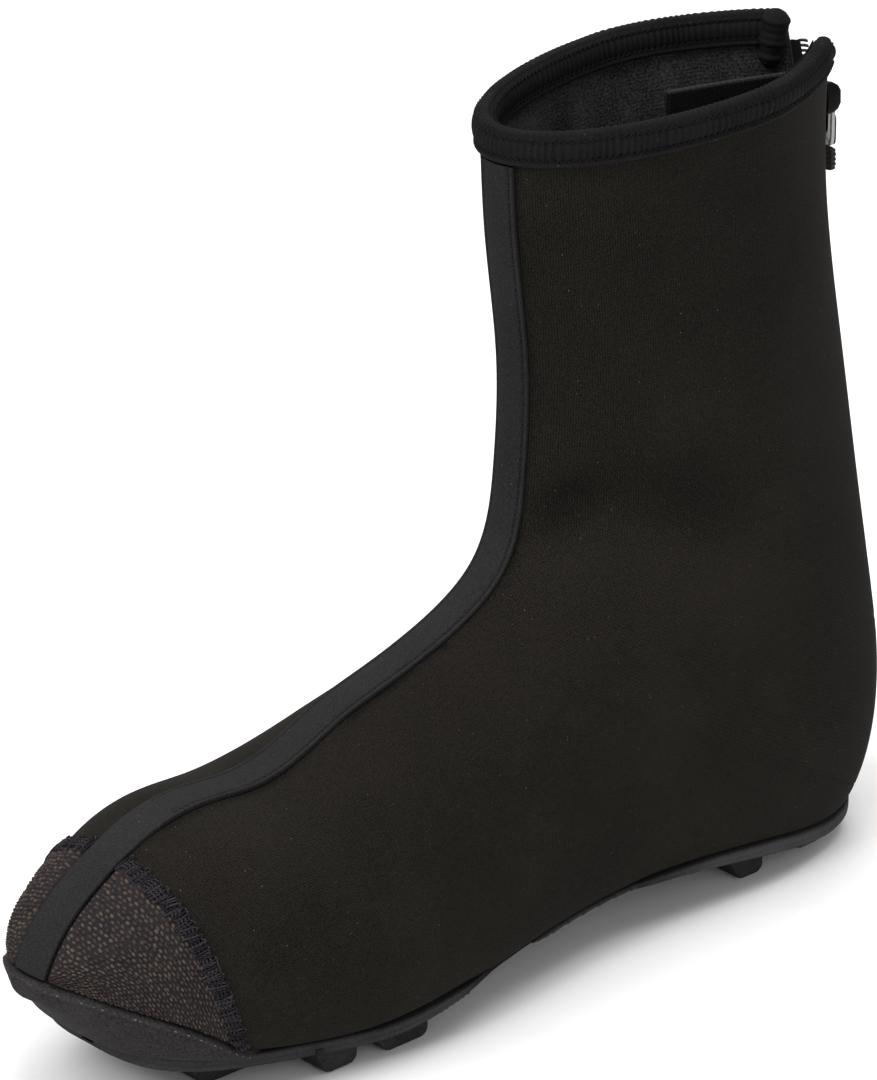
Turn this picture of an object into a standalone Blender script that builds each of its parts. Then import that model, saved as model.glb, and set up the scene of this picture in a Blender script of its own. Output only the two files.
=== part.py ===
"""Neoprene overshoe for the left foot: flattened shaft, full foot and a lugged rubber sole."""
from collections import namedtuple

import bmesh
import bpy
import numpy as np

# Driving sizes of the overshoe, in millimetres
MM = 0.001
LENGTH = 300.0
BALL_WIDTH = 93.0
SHAFT = 243.0
INSTEP = 96.0
HEEL = 45.0
WALL = 3.0
FIT_GAP = 0.3

# Place of the heel's back and of the sole's middle in the shared frame: toe to -Y, left side to +X
HEEL_Y = 150.5

# Sole: plate thickness, lip beyond the upper, lug sizes
SOLE_THICK = 4.0
SOLE_LIP = 1.0
LUG_ROOT = 2.0
LUG_STEP = 0.5
LUG_CORNER = 2.2
LUG_CORNER_STEPS = 4

# Front seam tape, toe patches and toe bumper
TAPE_HALF = 6.0
TAPE_THICK = 1.0
PATCH_THICK = 1.1
PATCH_GAP = 0.7
PATCH_TOP = 0.897
PATCH_LOW = 0.872
EDGE_GAP = 0.0012
BUMPER_THICK = 1.3
BUMPER_GAP = 1.4
BUMPER_END = 0.858

# Collar binding, folded over the edge
BIND_HEIGHT = 9.0
BIND_THICK = 1.3
BIND_GAP = 0.9

# Zip in the back slit: lower end above the floor, half widths below the slider and at the collar
ZIP_LOW = 60.0
ZIP_CLOSE = 2.0
ZIP_TOP = 0.002
SLIT_HALF = 4.5
SLIT_HALF_TOP = 9.0
ZIP_THICK = 1.4
ZIP_GAP = 0.8
ZIP_SUNK = 0.6
COIL_OUT = 0.9
COIL_HALF = 2.0
COIL_SLOPE = 0.3

# Zip slider and its pull tab; out is measured from the last's skin
SLIDER_UP = 217.0
SLIDER_HALF = 4.5
SLIDER_LONG = 9.0
SLIDER_OUT = 1.2
SLIDER_FLOOR = 4.0
SLIDER_RIM = 6.8
SLIDER_CHEEK = 1.1
PIVOT_OUT = 5.6
PULL_HALF = 2.6
PULL_THICK = 1.4
PULL_EYE = 1.0
PULL_LONG = 15.0
GRIP_HALF = 3.2
GRIP_THICK = 2.6
GRIP_LONG = 7.0

# Storm flap inside the zip
FLAP_FROM_BACK = 12.0
FLAP_IN = 5.4
FLAP_REACH = (-13.0, -40.0)
FLAP_THICK = 1.4
FLAP_TOP = 0.025
FLAP_LOW = 0.19

# Mesh steps
SLIT_ROWS = 9
BACK_ROWS = 5
FOOT_ROWS = 25
NOSE_ROWS = 4
AROUND = 34
EDGE_PACK = 0.25
EASE = 0.55
COLLAR_REACH = 0.3
TAPE_COLUMNS = 5
PATCH_ROWS = 11
PATCH_COLUMNS = 10
BUMPER_ROWS = 10
BUMPER_COLUMNS = 43
BUMPER_SIDE = 0.4 * np.pi
BUMPER_LEAST = 0.02
BIND_COLUMNS = 33
PARTED_ROWS = 3
FLAP_ROWS = 6
FLAP_COLUMNS = 5
SOLE_COLUMNS = 9

# Sections of the last, collar to toe. Top is the front seam or ridge, low is the back or sole line.
# along in shares of LENGTH from the heel's back, half in shares of half BALL_WIDTH, x and up in millimetres
ROW_FIELDS = "name top_x top_along top_up low_x low_along low_up half widest square_top square_low"
Row = namedtuple("Row", ROW_FIELDS)
SECTIONS = (
    Row("collar", 1, 0.455, 0.965 * SHAFT, 5, 0.072, 0.991 * SHAFT, 0.70, 0.45, 0.00, -0.04),
    Row("shaft_high", 1, 0.450, 0.840 * SHAFT, 5, 0.068, 0.823 * SHAFT, 0.61, 0.45, 0.00, -0.04),
    Row("shaft_low", 1, 0.4365, 0.695 * SHAFT, 5, 0.0405, 0.609 * SHAFT, 0.575, 0.45, 0.00, -0.04),
    Row("ankle", 1, 0.440, 0.565 * SHAFT, 5, 0.0095, 0.391 * SHAFT, 0.555, 0.45, 0.00, -0.02),
    Row("heel", 2, 0.471, 1.149 * INSTEP, 5, 0.002, 1.000 * HEEL, 0.66, 0.42, 0.00, 0.03),
    Row("heel_seat", 3, 0.560, 1.004 * INSTEP, 5, 0.0545, 0.090 * HEEL, 0.73, 0.38, 0.00, 0.03),
    Row("waist", 3, 0.665, 0.901 * INSTEP, 2, 0.363, 0.240 * HEEL, 0.75, 0.36, 0.00, 0.08),
    Row("ball", 1, 0.763, 0.783 * INSTEP, 0, 0.663, 0.155 * HEEL, 0.975, 0.36, 0.00, 0.09),
    Row("toe_box", 0, 0.868, 0.766 * INSTEP, -1, 0.840, 0.210 * HEEL, 0.79, 0.38, 0.01, 0.07),
    Row("toe_front", -1, 0.9455, 0.628 * INSTEP, -1, 0.9275, 0.386 * HEEL, 0.55, 0.42, 0.02, 0.06),
    Row("toe_nose", -1, 0.981, 0.515 * INSTEP, -1, 0.971, 0.705 * HEEL, 0.32, 0.45, 0.02, 0.03),
    Row("toe_tip", -1, 1.000, 0.414 * INSTEP, -1, 0.9995, 0.855 * HEEL, 0.04, 0.50, 0.00, 0.00),
)

# Underside of the sole plate above the floor: heel, arch, ball and toe spring
Profile = namedtuple("Profile", "along up")
SOLE_UNDER = (
    Profile(0.00, 7.0),
    Profile(0.10, 5.2),
    Profile(0.20, 9.8),
    Profile(0.30, 12.8),
    Profile(0.40, 13.4),
    Profile(0.52, 12.3),
    Profile(0.64, 9.7),
    Profile(0.74, 6.0),
    Profile(0.82, 8.0),
    Profile(0.88, 11.5),
    Profile(0.94, 15.0),
    Profile(1.00, 17.0),
)

# Thickness of the sole plate, in shares of SOLE_THICK
SOLE_SHARE = (
    Profile(0.00, 1.00),
    Profile(0.20, 1.00),
    Profile(0.30, 0.70),
    Profile(0.40, 0.34),
    Profile(0.52, 0.30),
    Profile(0.60, 0.55),
    Profile(0.68, 0.95),
    Profile(0.80, 1.00),
    Profile(1.00, 1.00),
)

# Top edge of the toe bumper above the floor
BUMPER_TOP = (
    Profile(0.80, 12.0),
    Profile(0.84, 16.0),
    Profile(0.87, 21.5),
    Profile(0.90, 27.5),
    Profile(0.94, 34.0),
    Profile(0.98, 40.0),
    Profile(1.00, 42.0),
)

# Lugs: middle across in shares of the sole's half width, front and rear along, flat and foot widths across
Lug = namedtuple("Lug", "name across front flat rear width")
LUGS = (
    Lug("toe_pad", 0.00, 0.876, 0.845, 0.777, 34),
    Lug("ball_front_outer", 0.67, 0.766, 0.751, 0.719, 20),
    Lug("ball_front_inner", -0.67, 0.766, 0.751, 0.719, 20),
    Lug("ball_rear_outer", 0.59, 0.705, 0.685, 0.639, 20),
    Lug("ball_rear_inner", -0.59, 0.705, 0.685, 0.639, 20),
    Lug("heel_front_outer", 0.46, 0.241, 0.213, 0.187, 15),
    Lug("heel_front_inner", -0.46, 0.241, 0.213, 0.187, 15),
    Lug("heel_rear_outer", 0.44, 0.150, 0.128, 0.100, 14),
    Lug("heel_rear_inner", -0.44, 0.150, 0.128, 0.100, 14),
)

# Plain finishes of the pieces
Finish = namedtuple("Finish", "name colour roughness")
NEOPRENE = Finish("neoprene", (0.012, 0.011, 0.009), 0.85)
SEAM_TAPE = Finish("seam_tape", (0.02, 0.02, 0.022), 0.8)
PATCH_CLOTH = Finish("toe_patch", (0.05, 0.04, 0.038), 0.9)
BUMPER_RUBBER = Finish("bumper_rubber", (0.035, 0.034, 0.035), 0.7)
BINDING = Finish("binding", (0.011, 0.011, 0.012), 0.75)
ZIP_NYLON = Finish("zip_nylon", (0.01, 0.01, 0.01), 0.5)
SLIDER_METAL = Finish("slider_metal", (0.03, 0.03, 0.03), 0.35)
PULL_METAL = Finish("pull_metal", (0.35, 0.35, 0.35), 0.3)
GRIP_RUBBER = Finish("grip_rubber", (0.01, 0.01, 0.01), 0.6)
FLAP_KNIT = Finish("flap_knit", (0.009, 0.008, 0.008), 0.85)
SOLE_RUBBER = Finish("sole_rubber", (0.02, 0.02, 0.02), 0.7)


def natural_spline(knots, values, at):
    """Natural cubic spline through rows of values at the knots, read at the given places."""
    knots = np.asarray(knots, float)
    values = np.asarray(values, float)
    at = np.asarray(at, float)
    count = len(knots)
    step = np.diff(knots)
    matrix = np.zeros((count, count))
    right = np.zeros(values.shape)
    matrix[0, 0] = 1.0
    matrix[-1, -1] = 1.0
    slope = np.diff(values, axis=0) / step[:, None]
    for i in range(1, count - 1):
        matrix[i, i - 1 : i + 2] = (step[i - 1], 2.0 * (step[i - 1] + step[i]), step[i])
        right[i] = 6.0 * (slope[i] - slope[i - 1])
    bend = np.linalg.solve(matrix, right)
    k = np.clip(np.searchsorted(knots, at) - 1, 0, count - 2)
    p = ((at - knots[k]) / step[k])[:, None]
    q = 1.0 - p
    curve = (q**3 - q) * bend[k] + (p**3 - p) * bend[k + 1]
    return q * values[k] + p * values[k + 1] + (step[k] ** 2)[:, None] / 6.0 * curve


def section_table():
    """The section rows as numbers in millimetres, with their places from collar (0) to toe (1)."""
    table = np.array([row[1:] for row in SECTIONS], float)
    table[:, [1, 4]] *= LENGTH
    table[:, 6] *= BALL_WIDTH / 2.0
    top_step = np.linalg.norm(np.diff(table[:, 1:3], axis=0), axis=1)
    low_step = np.linalg.norm(np.diff(table[:, 4:6], axis=0), axis=1)
    places = np.concatenate([[0.0], np.cumsum((top_step + low_step) / 2.0)])
    return places / places[-1], table


PLACES, TABLE = section_table()


def form(place, angle):
    """Points of the last in millimetres: place 0 collar to 1 toe, angle 0 ridge, pi back or sole."""
    place, angle = np.broadcast_arrays(np.asarray(place, float), np.asarray(angle, float))
    columns = natural_spline(PLACES, TABLE, place.ravel()).reshape(place.shape + (TABLE.shape[1],))
    columns = np.moveaxis(columns, -1, 0)
    top_x, top_along, top_up = columns[:3]
    low_x, low_along, low_up = columns[3:6]
    half, widest, square_top, square_low = columns[6:]
    upper_half = np.cos(angle) >= 0.0
    square = np.where(upper_half, square_top, square_low)
    side = half * (np.sin(angle) + square * np.sin(3.0 * angle)) / (1.0 - square)
    rise = (np.cos(angle) - square * np.cos(3.0 * angle)) / (1.0 - square)
    share = np.where(upper_half, widest + (1.0 - widest) * rise, widest + widest * rise)
    x = low_x + (top_x - low_x) * share + side
    y = HEEL_Y - low_along - (top_along - low_along) * share
    z = low_up + (top_up - low_up) * share
    return np.stack([x, y, z], axis=-1)


def skin(place, angle, out=0.0):
    """Points of the last moved out along its normal, in millimetres."""
    place, angle, out = np.broadcast_arrays(*[np.asarray(v, float) for v in (place, angle, out)])
    small = 1e-3
    ahead = form(np.clip(place + small, 0.0, 1.0), angle)
    behind = form(np.clip(place - small, 0.0, 1.0), angle)
    normal = np.cross(ahead - behind, form(place, angle + small) - form(place, angle - small))
    normal /= np.maximum(np.linalg.norm(normal, axis=-1, keepdims=True), 1e-12)
    return form(place, angle) + normal * out[..., None]


def profile_at(profile, along):
    """Height of a (along, up) profile at shares of LENGTH from the heel's back."""
    knots = [row.along for row in profile]
    heights = np.array([[row.up] for row in profile])
    return natural_spline(knots, heights, np.ravel(along))[:, 0].reshape(np.shape(along))


def along_of(points):
    """Share of LENGTH from the heel's back."""
    return (HEEL_Y - points[..., 1]) / LENGTH


def feather_height(along):
    """Height of the upper's lower edge, just above the sole plate."""
    return profile_at(SOLE_UNDER, along) + SOLE_THICK + FIT_GAP


def above_feather(place, angle):
    """How far the last stands above the lower edge at a place and angle."""
    points = form(place, angle)
    return points[..., 2] - feather_height(along_of(points))


def bisect(function, low, high, steps=44):
    """Where a function changes sign between two places, for arrays of starts."""
    low = np.array(low, float)
    high = np.array(high, float)
    first = function(low) > 0.0
    for _ in range(steps):
        middle = (low + high) / 2.0
        same = (function(middle) > 0.0) == first
        low = np.where(same, middle, low)
        high = np.where(same, high, middle)
    return (low + high) / 2.0


def place_of_row(name):
    """Place of a named section."""
    return PLACES[[row.name for row in SECTIONS].index(name)]


# Ends of the opening under the foot, where the sole line meets the lower edge
HEEL_END = float(bisect(lambda s: above_feather(s, np.pi), place_of_row("heel"), place_of_row("heel_seat")))
TOE_END = float(bisect(lambda s: above_feather(s, np.pi), place_of_row("toe_box"), place_of_row("toe_nose")))


def feather_angle(place):
    """Angle of the lower edge on each foot section between the ends of the opening."""
    place = np.asarray(place, float)
    low = np.full(place.shape, 0.5 * np.pi)
    high = np.full(place.shape, np.pi)
    found = bisect(lambda psi: above_feather(place, psi), low, high)
    ends = (place <= HEEL_END) | (place >= TOE_END)
    return np.where(ends, np.pi, found)


def above_bumper(place, angle):
    """How far the last stands above the toe bumper's top edge."""
    points = form(place, angle)
    return points[..., 2] - profile_at(BUMPER_TOP, along_of(points))


BUMPER_TIP = float(bisect(lambda s: above_bumper(s, 0.0), place_of_row("toe_front"), 1.0))


def bumper_angle(place):
    """Angle of the toe bumper's top edge on each section behind its tip."""
    place = np.asarray(place, float)
    found = bisect(lambda psi: above_bumper(place, psi), np.zeros(place.shape), feather_angle(place))
    return np.where(place >= BUMPER_TIP, 0.0, found)


def angle_at(place, reach, start=0.0, samples=60):
    """Turn from a start angle that covers a length of arc along each section."""
    place, reach = np.broadcast_arrays(np.asarray(place, float), np.asarray(reach, float))
    turn = np.linspace(0.0, 0.5 * np.pi, samples)
    points = form(place.reshape(-1, 1), start + turn[None, :])
    arc = np.cumsum(np.linalg.norm(np.diff(points, axis=1), axis=2), axis=1)
    arc = np.concatenate([np.zeros((arc.shape[0], 1)), arc], axis=1)
    found = [np.interp(length, row, turn) for length, row in zip(reach.ravel(), arc)]
    return np.array(found).reshape(place.shape)


def place_at_up(up, angle, low, high):
    """Place where the ridge or back line has a given height."""
    return float(bisect(lambda s: form(s, angle)[..., 2] - up, low, high))


def place_down(length, angle, samples=200):
    """Place at a length of arc below the collar, along one angle."""
    places = np.linspace(0.0, COLLAR_REACH, samples)
    points = form(places, angle)
    arc = np.concatenate([[0.0], np.cumsum(np.linalg.norm(np.diff(points, axis=0), axis=1))])
    return float(np.interp(length, arc, places))


ZIP_END = place_at_up(ZIP_LOW, np.pi, 0.0, place_of_row("heel"))
ZIP_STOP = place_at_up(ZIP_LOW - ZIP_CLOSE, np.pi, 0.0, place_of_row("heel"))
SLIDER_PLACE = place_at_up(SLIDER_UP, np.pi, 0.0, place_of_row("shaft_low"))


def slit_half(place):
    """Half width of the back slit: even below the slider, opening to the collar above it."""
    opening = np.clip(1.0 - np.asarray(place, float) / SLIDER_PLACE, 0.0, 1.0)
    return SLIT_HALF + (SLIT_HALF_TOP - SLIT_HALF) * opening


def eased(count):
    """Steps from 0 to 1, closer together towards both ends."""
    even = np.linspace(0.0, 1.0, count)
    return (1.0 - EASE) * even + EASE * (1.0 - np.cos(np.pi * even)) / 2.0


def new_material(piece, finish):
    """A piece's own material with one plain finish."""
    material = bpy.data.materials.new(f"{piece}_{finish.name}")
    material.use_nodes = True
    shader = material.node_tree.nodes["Principled BSDF"]
    shader.inputs["Base Color"].default_value = (*finish.colour, 1.0)
    shader.inputs["Roughness"].default_value = finish.roughness
    return material


def new_object(name, mesh, collection, finish=None):
    """An object in a collection, with a finish for a piece."""
    item = bpy.data.objects.new(name, mesh)
    collection.objects.link(item)
    if finish is not None:
        mesh.materials.append(new_material(name, finish))
    return item


def sheet_mesh(name, points, joined=None, pole=False, keep=None):
    """Open surface over points in millimetres; joined rows close on themselves, a pole closes the end."""
    rows, columns = points.shape[:2]
    keep = np.ones((rows - 1, columns - 1), bool) if keep is None else keep
    joined = np.zeros(rows, bool) if joined is None else joined
    mesh = bpy.data.meshes.new(name)
    build = bmesh.new()
    grid = []
    for i in range(rows):
        line = [build.verts.new(points[i, j] * MM) for j in range(columns - 1)]
        line.append(line[0] if joined[i] else build.verts.new(points[i, -1] * MM))
        grid.append(line)
    for i in range(rows - 1):
        for j in range(columns - 1):
            if keep[i, j]:
                build.faces.new((grid[i][j], grid[i + 1][j], grid[i + 1][j + 1], grid[i][j + 1]))
    if pole:
        build.faces.new(grid[-1][-2::-1])
    build.to_mesh(mesh)
    build.free()
    return mesh


def thicken(item, thickness, outward):
    """Real thickness for an open surface, towards or against its normal."""
    shell = item.modifiers.new("thickness", "SOLIDIFY")
    shell.thickness = thickness * MM
    shell.offset = 1.0 if outward else -1.0
    shell.use_even_offset = True
    return shell


def upper_places():
    """Places of the upper's rings: slit shaft, closed heel, foot over the open underside, and nose."""
    slit = np.concatenate([[0.0], np.linspace(SLIDER_PLACE, ZIP_END, SLIT_ROWS - 1)])
    back = np.linspace(ZIP_STOP, HEEL_END, BACK_ROWS)
    foot = HEEL_END + (TOE_END - HEEL_END) * eased(FOOT_ROWS)
    nose = np.linspace(TOE_END, 1.0, NOSE_ROWS + 1)
    return np.concatenate([slit, back, foot[1:], nose[1:]])


def build_upper(collection):
    """Hollow neoprene upper: slit shaft, foot with an open underside, and the closed nose of the toe."""
    places = upper_places()
    slit = places[:SLIT_ROWS]
    reach = feather_angle(places)
    reach[:SLIT_ROWS] = np.pi - angle_at(slit, slit_half(slit), np.pi)
    across = np.linspace(-1.0, 1.0, AROUND + 1)
    across = across * (1.0 + EDGE_PACK * (1.0 - across**2))
    points = form(places[:, None], across[None, :] * reach[:, None])
    joined = reach >= np.pi - 1e-9
    mesh = sheet_mesh("upper", points, joined, pole=True)
    item = new_object("upper", mesh, collection, NEOPRENE)
    thicken(item, WALL, outward=False)
    return item


def tape_end(reach):
    """Place where the bumper's top edge crosses the ridge or a line beside it."""

    def room(place):
        return bumper_angle(place) - angle_at(place, reach)

    return float(bisect(room, place_of_row("toe_front"), BUMPER_TIP)) if reach > 0.0 else BUMPER_TIP


def build_tape(collection):
    """Covering tape over the front seam, from the binding to the toe bumper."""
    first = place_down(BIND_HEIGHT + FIT_GAP, 0.0)
    rings = upper_places()
    last = BUMPER_TIP - EDGE_GAP
    inner = rings[(rings > first + EDGE_GAP) & (rings < last - EDGE_GAP)]
    places = np.concatenate([[first], inner, [last]])
    reach = np.linspace(-TAPE_HALF, TAPE_HALF, TAPE_COLUMNS)
    ends = np.array([tape_end(abs(r)) for r in reach]) - EDGE_GAP
    toe = np.clip((places - PATCH_TOP) / (last - PATCH_TOP), 0.0, 1.0)
    grid = places[:, None] + toe[:, None] * (ends - last)[None, :]
    angles = np.stack([np.sign(r) * angle_at(grid[:, j], abs(r)) for j, r in enumerate(reach)], axis=1)
    mesh = sheet_mesh("front_tape", skin(grid, angles, FIT_GAP))
    item = new_object("front_tape", mesh, collection, SEAM_TAPE)
    thicken(item, TAPE_THICK, outward=True)


def build_patch(collection, name, side):
    """Abrasion patch on one side of the toe, between the tape, the bumper and its own trailing edge."""
    edge_reach = TAPE_HALF + FIT_GAP
    last = tape_end(edge_reach + FIT_GAP) - EDGE_GAP
    down = np.linspace(0.0, 1.0, PATCH_COLUMNS)
    ahead = np.linspace(0.0, 1.0, PATCH_ROWS)
    trail = PATCH_TOP + (PATCH_LOW - PATCH_TOP) * down**2
    places = trail[None, :] * (1.0 - ahead[:, None]) + last * ahead[:, None]
    low = angle_at(places, edge_reach)
    high = bumper_angle(places + EDGE_GAP)
    angles = low + (high - low) * down[None, :]
    points = skin(places, side * angles, PATCH_GAP)
    mesh = sheet_mesh(name, points if side > 0 else points[:, ::-1])
    item = new_object(name, mesh, collection, PATCH_CLOTH)
    thicken(item, PATCH_THICK, outward=True)


def bumper_room(place, angle):
    """How far the bumper's outer face stands above the sole plate at a place and angle."""
    points = skin(place, angle, BUMPER_GAP + BUMPER_THICK)
    return points[..., 2] - feather_height(along_of(points)) - FIT_GAP


def build_bumper(collection):
    """Rubber rand round the nose, from its top edge down to the sole, pointed at both ends."""
    turn = np.linspace(-1.0, 1.0, BUMPER_COLUMNS)
    low_tip = float(bisect(lambda s: bumper_room(s, np.pi), TOE_END, 1.0))
    top_place = BUMPER_TIP - (BUMPER_TIP - BUMPER_END) * turn**2
    low_place = low_tip - (low_tip - BUMPER_END) * turn**2
    side = np.where(turn < 0.0, -1.0, 1.0)
    top_angle = bumper_angle(top_place)
    start = np.full(turn.shape, BUMPER_SIDE)
    low_angle = bisect(lambda psi: bumper_room(low_place, psi), start, np.full(turn.shape, np.pi))
    low_angle = np.where(low_place >= low_tip, np.pi, np.maximum(low_angle, top_angle + BUMPER_LEAST))
    share = np.linspace(0.0, 1.0, BUMPER_ROWS)[:, None]
    disc = []
    for place, angle in ((top_place, side * top_angle), (low_place, side * low_angle)):
        disc.append(np.stack([np.cos(angle), np.sin(angle)]) * (1.0 - place))
    disc_x, disc_y = [disc[0][k] * (1.0 - share) + disc[1][k] * share for k in (0, 1)]
    points = skin(1.0 - np.hypot(disc_x, disc_y), np.arctan2(disc_y, disc_x), BUMPER_GAP)
    mesh = sheet_mesh("toe_bumper", points)
    item = new_object("toe_bumper", mesh, collection, BUMPER_RUBBER)
    thicken(item, BUMPER_THICK, outward=True)


def build_binding(collection):
    """Folded binding over the collar's edge, open at the back slit."""
    end = np.pi - float(angle_at(0.0, SLIT_HALF_TOP, np.pi))
    angles = np.linspace(-end, end, BIND_COLUMNS)
    collar = form(0.0, angles)
    upward = collar - form(1e-3, angles)
    upward /= np.linalg.norm(upward, axis=1, keepdims=True)
    inside = -(WALL + BIND_GAP)
    rows = []
    for depth in (1.0, 0.0):
        places = np.array([place_down(BIND_HEIGHT * depth, a) for a in angles])
        rows.append(skin(places, angles, inside))
    rows.append(skin(0.0, angles, -WALL) + upward * FIT_GAP)
    rows.append(skin(0.0, angles, -WALL / 2.0) + upward * 2.0 * FIT_GAP)
    rows.append(skin(0.0, angles, 0.0) + upward * FIT_GAP)
    for depth in (0.0, 1.0):
        places = np.array([place_down(BIND_HEIGHT * depth, a) for a in angles])
        rows.append(skin(places, angles, FIT_GAP))
    mesh = sheet_mesh("collar_binding", np.stack(rows))
    item = new_object("collar_binding", mesh, collection, BINDING)
    thicken(item, BIND_THICK, outward=True)


def build_zip(collection):
    """Zip tapes with the coil between them; they part above the slider."""
    rings = upper_places()[1:SLIT_ROWS]
    rings = np.sort(np.concatenate([rings, (rings[1:] + rings[:-1]) / 2.0]))
    places = np.concatenate([np.linspace(ZIP_TOP, SLIDER_PLACE, PARTED_ROWS + 1)[:-1], rings])
    places[-1] -= EDGE_GAP
    edge = slit_half(places) - ZIP_GAP
    rim = edge - (SLIT_HALF - ZIP_GAP - COIL_HALF)
    steps = ((-edge, -ZIP_SUNK), (-rim - COIL_SLOPE, -ZIP_SUNK), (-rim, COIL_OUT))
    columns = list(steps) + [(-reach, out) for reach, out in reversed(steps)]
    angles = np.stack([np.pi + np.sign(r) * angle_at(places, np.abs(r), np.pi) for r, _ in columns], axis=1)
    out = np.array([o for _, o in columns])
    keep = np.ones((len(places) - 1, len(columns) - 1), bool)
    keep[:PARTED_ROWS, len(steps) - 1] = False
    mesh = sheet_mesh("zip", skin(places[:, None], angles, out[None, :]), keep=keep)
    item = new_object("zip", mesh, collection, ZIP_NYLON)
    thicken(item, ZIP_THICK, outward=False)


def slider_frame():
    """Middle of the slider on the back line, with its outward and upward directions."""
    middle = form(SLIDER_PLACE, np.pi)
    outward = skin(SLIDER_PLACE, np.pi, 1.0) - middle
    upward = np.cross(np.array([1.0, 0.0, 0.0]), outward)
    return middle, outward, upward / np.linalg.norm(upward)


def prism_mesh(name, outline, ways, start, end):
    """Outline in two directions, carried along the third from start to end; all in millimetres."""
    first, second, third, origin = ways
    build = bmesh.new()
    rings = []
    for reach in (start, end):
        corners = [origin + first * a + second * b + third * reach for a, b in outline]
        rings.append([build.verts.new(c * MM) for c in corners])
    count = len(outline)
    build.faces.new(rings[0])
    build.faces.new(rings[1][::-1])
    for i in range(count):
        k = (i + 1) % count
        build.faces.new((rings[0][k], rings[0][i], rings[1][i], rings[1][k]))
    bmesh.ops.recalc_face_normals(build, faces=build.faces)
    mesh = bpy.data.meshes.new(name)
    build.to_mesh(mesh)
    build.free()
    return mesh


def build_slider(collection):
    """Zip slider: a short channel over the coil, whose cheeks hold the pull tab's eye."""
    middle, outward, upward = slider_frame()
    side = np.array([1.0, 0.0, 0.0])
    inner = SLIDER_HALF - SLIDER_CHEEK
    outer_wall = ((SLIDER_HALF, SLIDER_OUT), (SLIDER_HALF, SLIDER_RIM))
    inner_wall = ((inner, SLIDER_RIM), (inner, SLIDER_FLOOR))
    right_half = outer_wall + inner_wall
    outline = right_half + tuple((-x, out) for x, out in reversed(right_half))
    reach = SLIDER_LONG / 2.0
    mesh = prism_mesh("zip_slider", outline, (side, outward, upward, middle), -reach, reach)
    new_object("zip_slider", mesh, collection, SLIDER_METAL)


def pull_pivot():
    """Point on the pull tab's hinge axis."""
    middle, outward, _ = slider_frame()
    return middle + outward * PIVOT_OUT


def build_pull(collection):
    """Pull tab hanging straight down from the slider, with its moulded grip."""
    pivot = pull_pivot()
    hinge = bpy.data.objects.new("zip_pull_hinge", None)
    hinge.location = pivot * MM
    collection.objects.link(hinge)
    side = np.array([1.0, 0.0, 0.0])
    out = np.array([0.0, 1.0, 0.0])
    upward = np.array([0.0, 0.0, 1.0])
    centre = np.zeros(3)
    grip_top = -PULL_LONG - FIT_GAP
    for name, half, thick, top, low, finish in (
        ("zip_pull", PULL_HALF, PULL_THICK, PULL_EYE, -PULL_LONG, PULL_METAL),
        ("zip_grip", GRIP_HALF, GRIP_THICK, grip_top, grip_top - GRIP_LONG, GRIP_RUBBER),
    ):
        outline = ((-half, -thick / 2.0), (half, -thick / 2.0), (half, thick / 2.0), (-half, thick / 2.0))
        mesh = prism_mesh(name, outline, (side, out, upward, centre), low, top)
        item = new_object(name, mesh, collection, finish)
        item.parent = hinge


def build_flap(collection):
    """Storm flap sewn inside the left edge of the zip, standing forward into the shaft."""
    places = np.linspace(FLAP_TOP, FLAP_LOW, FLAP_ROWS)
    start = skin(places, np.pi - angle_at(places, FLAP_FROM_BACK, np.pi), -FLAP_IN)
    share = np.linspace(0.0, 1.0, FLAP_COLUMNS)
    reach = np.array([*FLAP_REACH, 0.0])
    points = start[:, None, :] + share[None, :, None] * reach[None, None, :]
    mesh = sheet_mesh("zip_flap", points)
    item = new_object("zip_flap", mesh, collection, FLAP_KNIT)
    thicken(item, FLAP_THICK, outward=True)


def sole_rows():
    """Left and right edge points of the sole plate along the foot, at the lower edge of the upper."""
    places = HEEL_END + (TOE_END - HEEL_END) * eased(FOOT_ROWS + 2)[1:-1]
    reach = feather_angle(places)
    return form(places, reach), form(places, -reach)


def build_outsole(collection, cutters):
    """Rubber sole plate with its lip, arch and toe spring, and the wedge lugs under it."""
    left, right = sole_rows()
    middle = (left + right) / 2.0
    outward = (left - middle) / np.linalg.norm(left - middle, axis=1, keepdims=True)
    left = left + outward * SOLE_LIP
    right = right - outward * SOLE_LIP
    ends = np.array([-SOLE_LIP, SOLE_LIP])
    left[[0, -1], 1] -= ends
    right[[0, -1], 1] -= ends
    shares = np.linspace(0.0, 1.0, SOLE_COLUMNS)[None, :, None]
    points = left[:, None, :] * (1.0 - shares) + right[:, None, :] * shares
    points[..., 2] = profile_at(SOLE_UNDER, along_of(points)) + SOLE_THICK
    mesh = sheet_mesh("outsole", points)
    item = new_object("outsole", mesh, collection, SOLE_RUBBER)
    plate = item.vertex_groups.new(name="plate")
    for i, share in enumerate(profile_at(SOLE_SHARE, along_of(points)).ravel()):
        plate.add([i], min(max(float(share), 0.0), 1.0), "REPLACE")
    thicken(item, SOLE_THICK, outward=True).vertex_group = plate.name
    lugs = new_object("sole_lugs", lug_mesh(), cutters)
    lugs.hide_render = True
    lugs.display_type = "WIRE"
    join = item.modifiers.new("lugs", "BOOLEAN")
    join.operation = "UNION"
    join.solver = "EXACT"
    join.object = lugs
    return item


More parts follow.
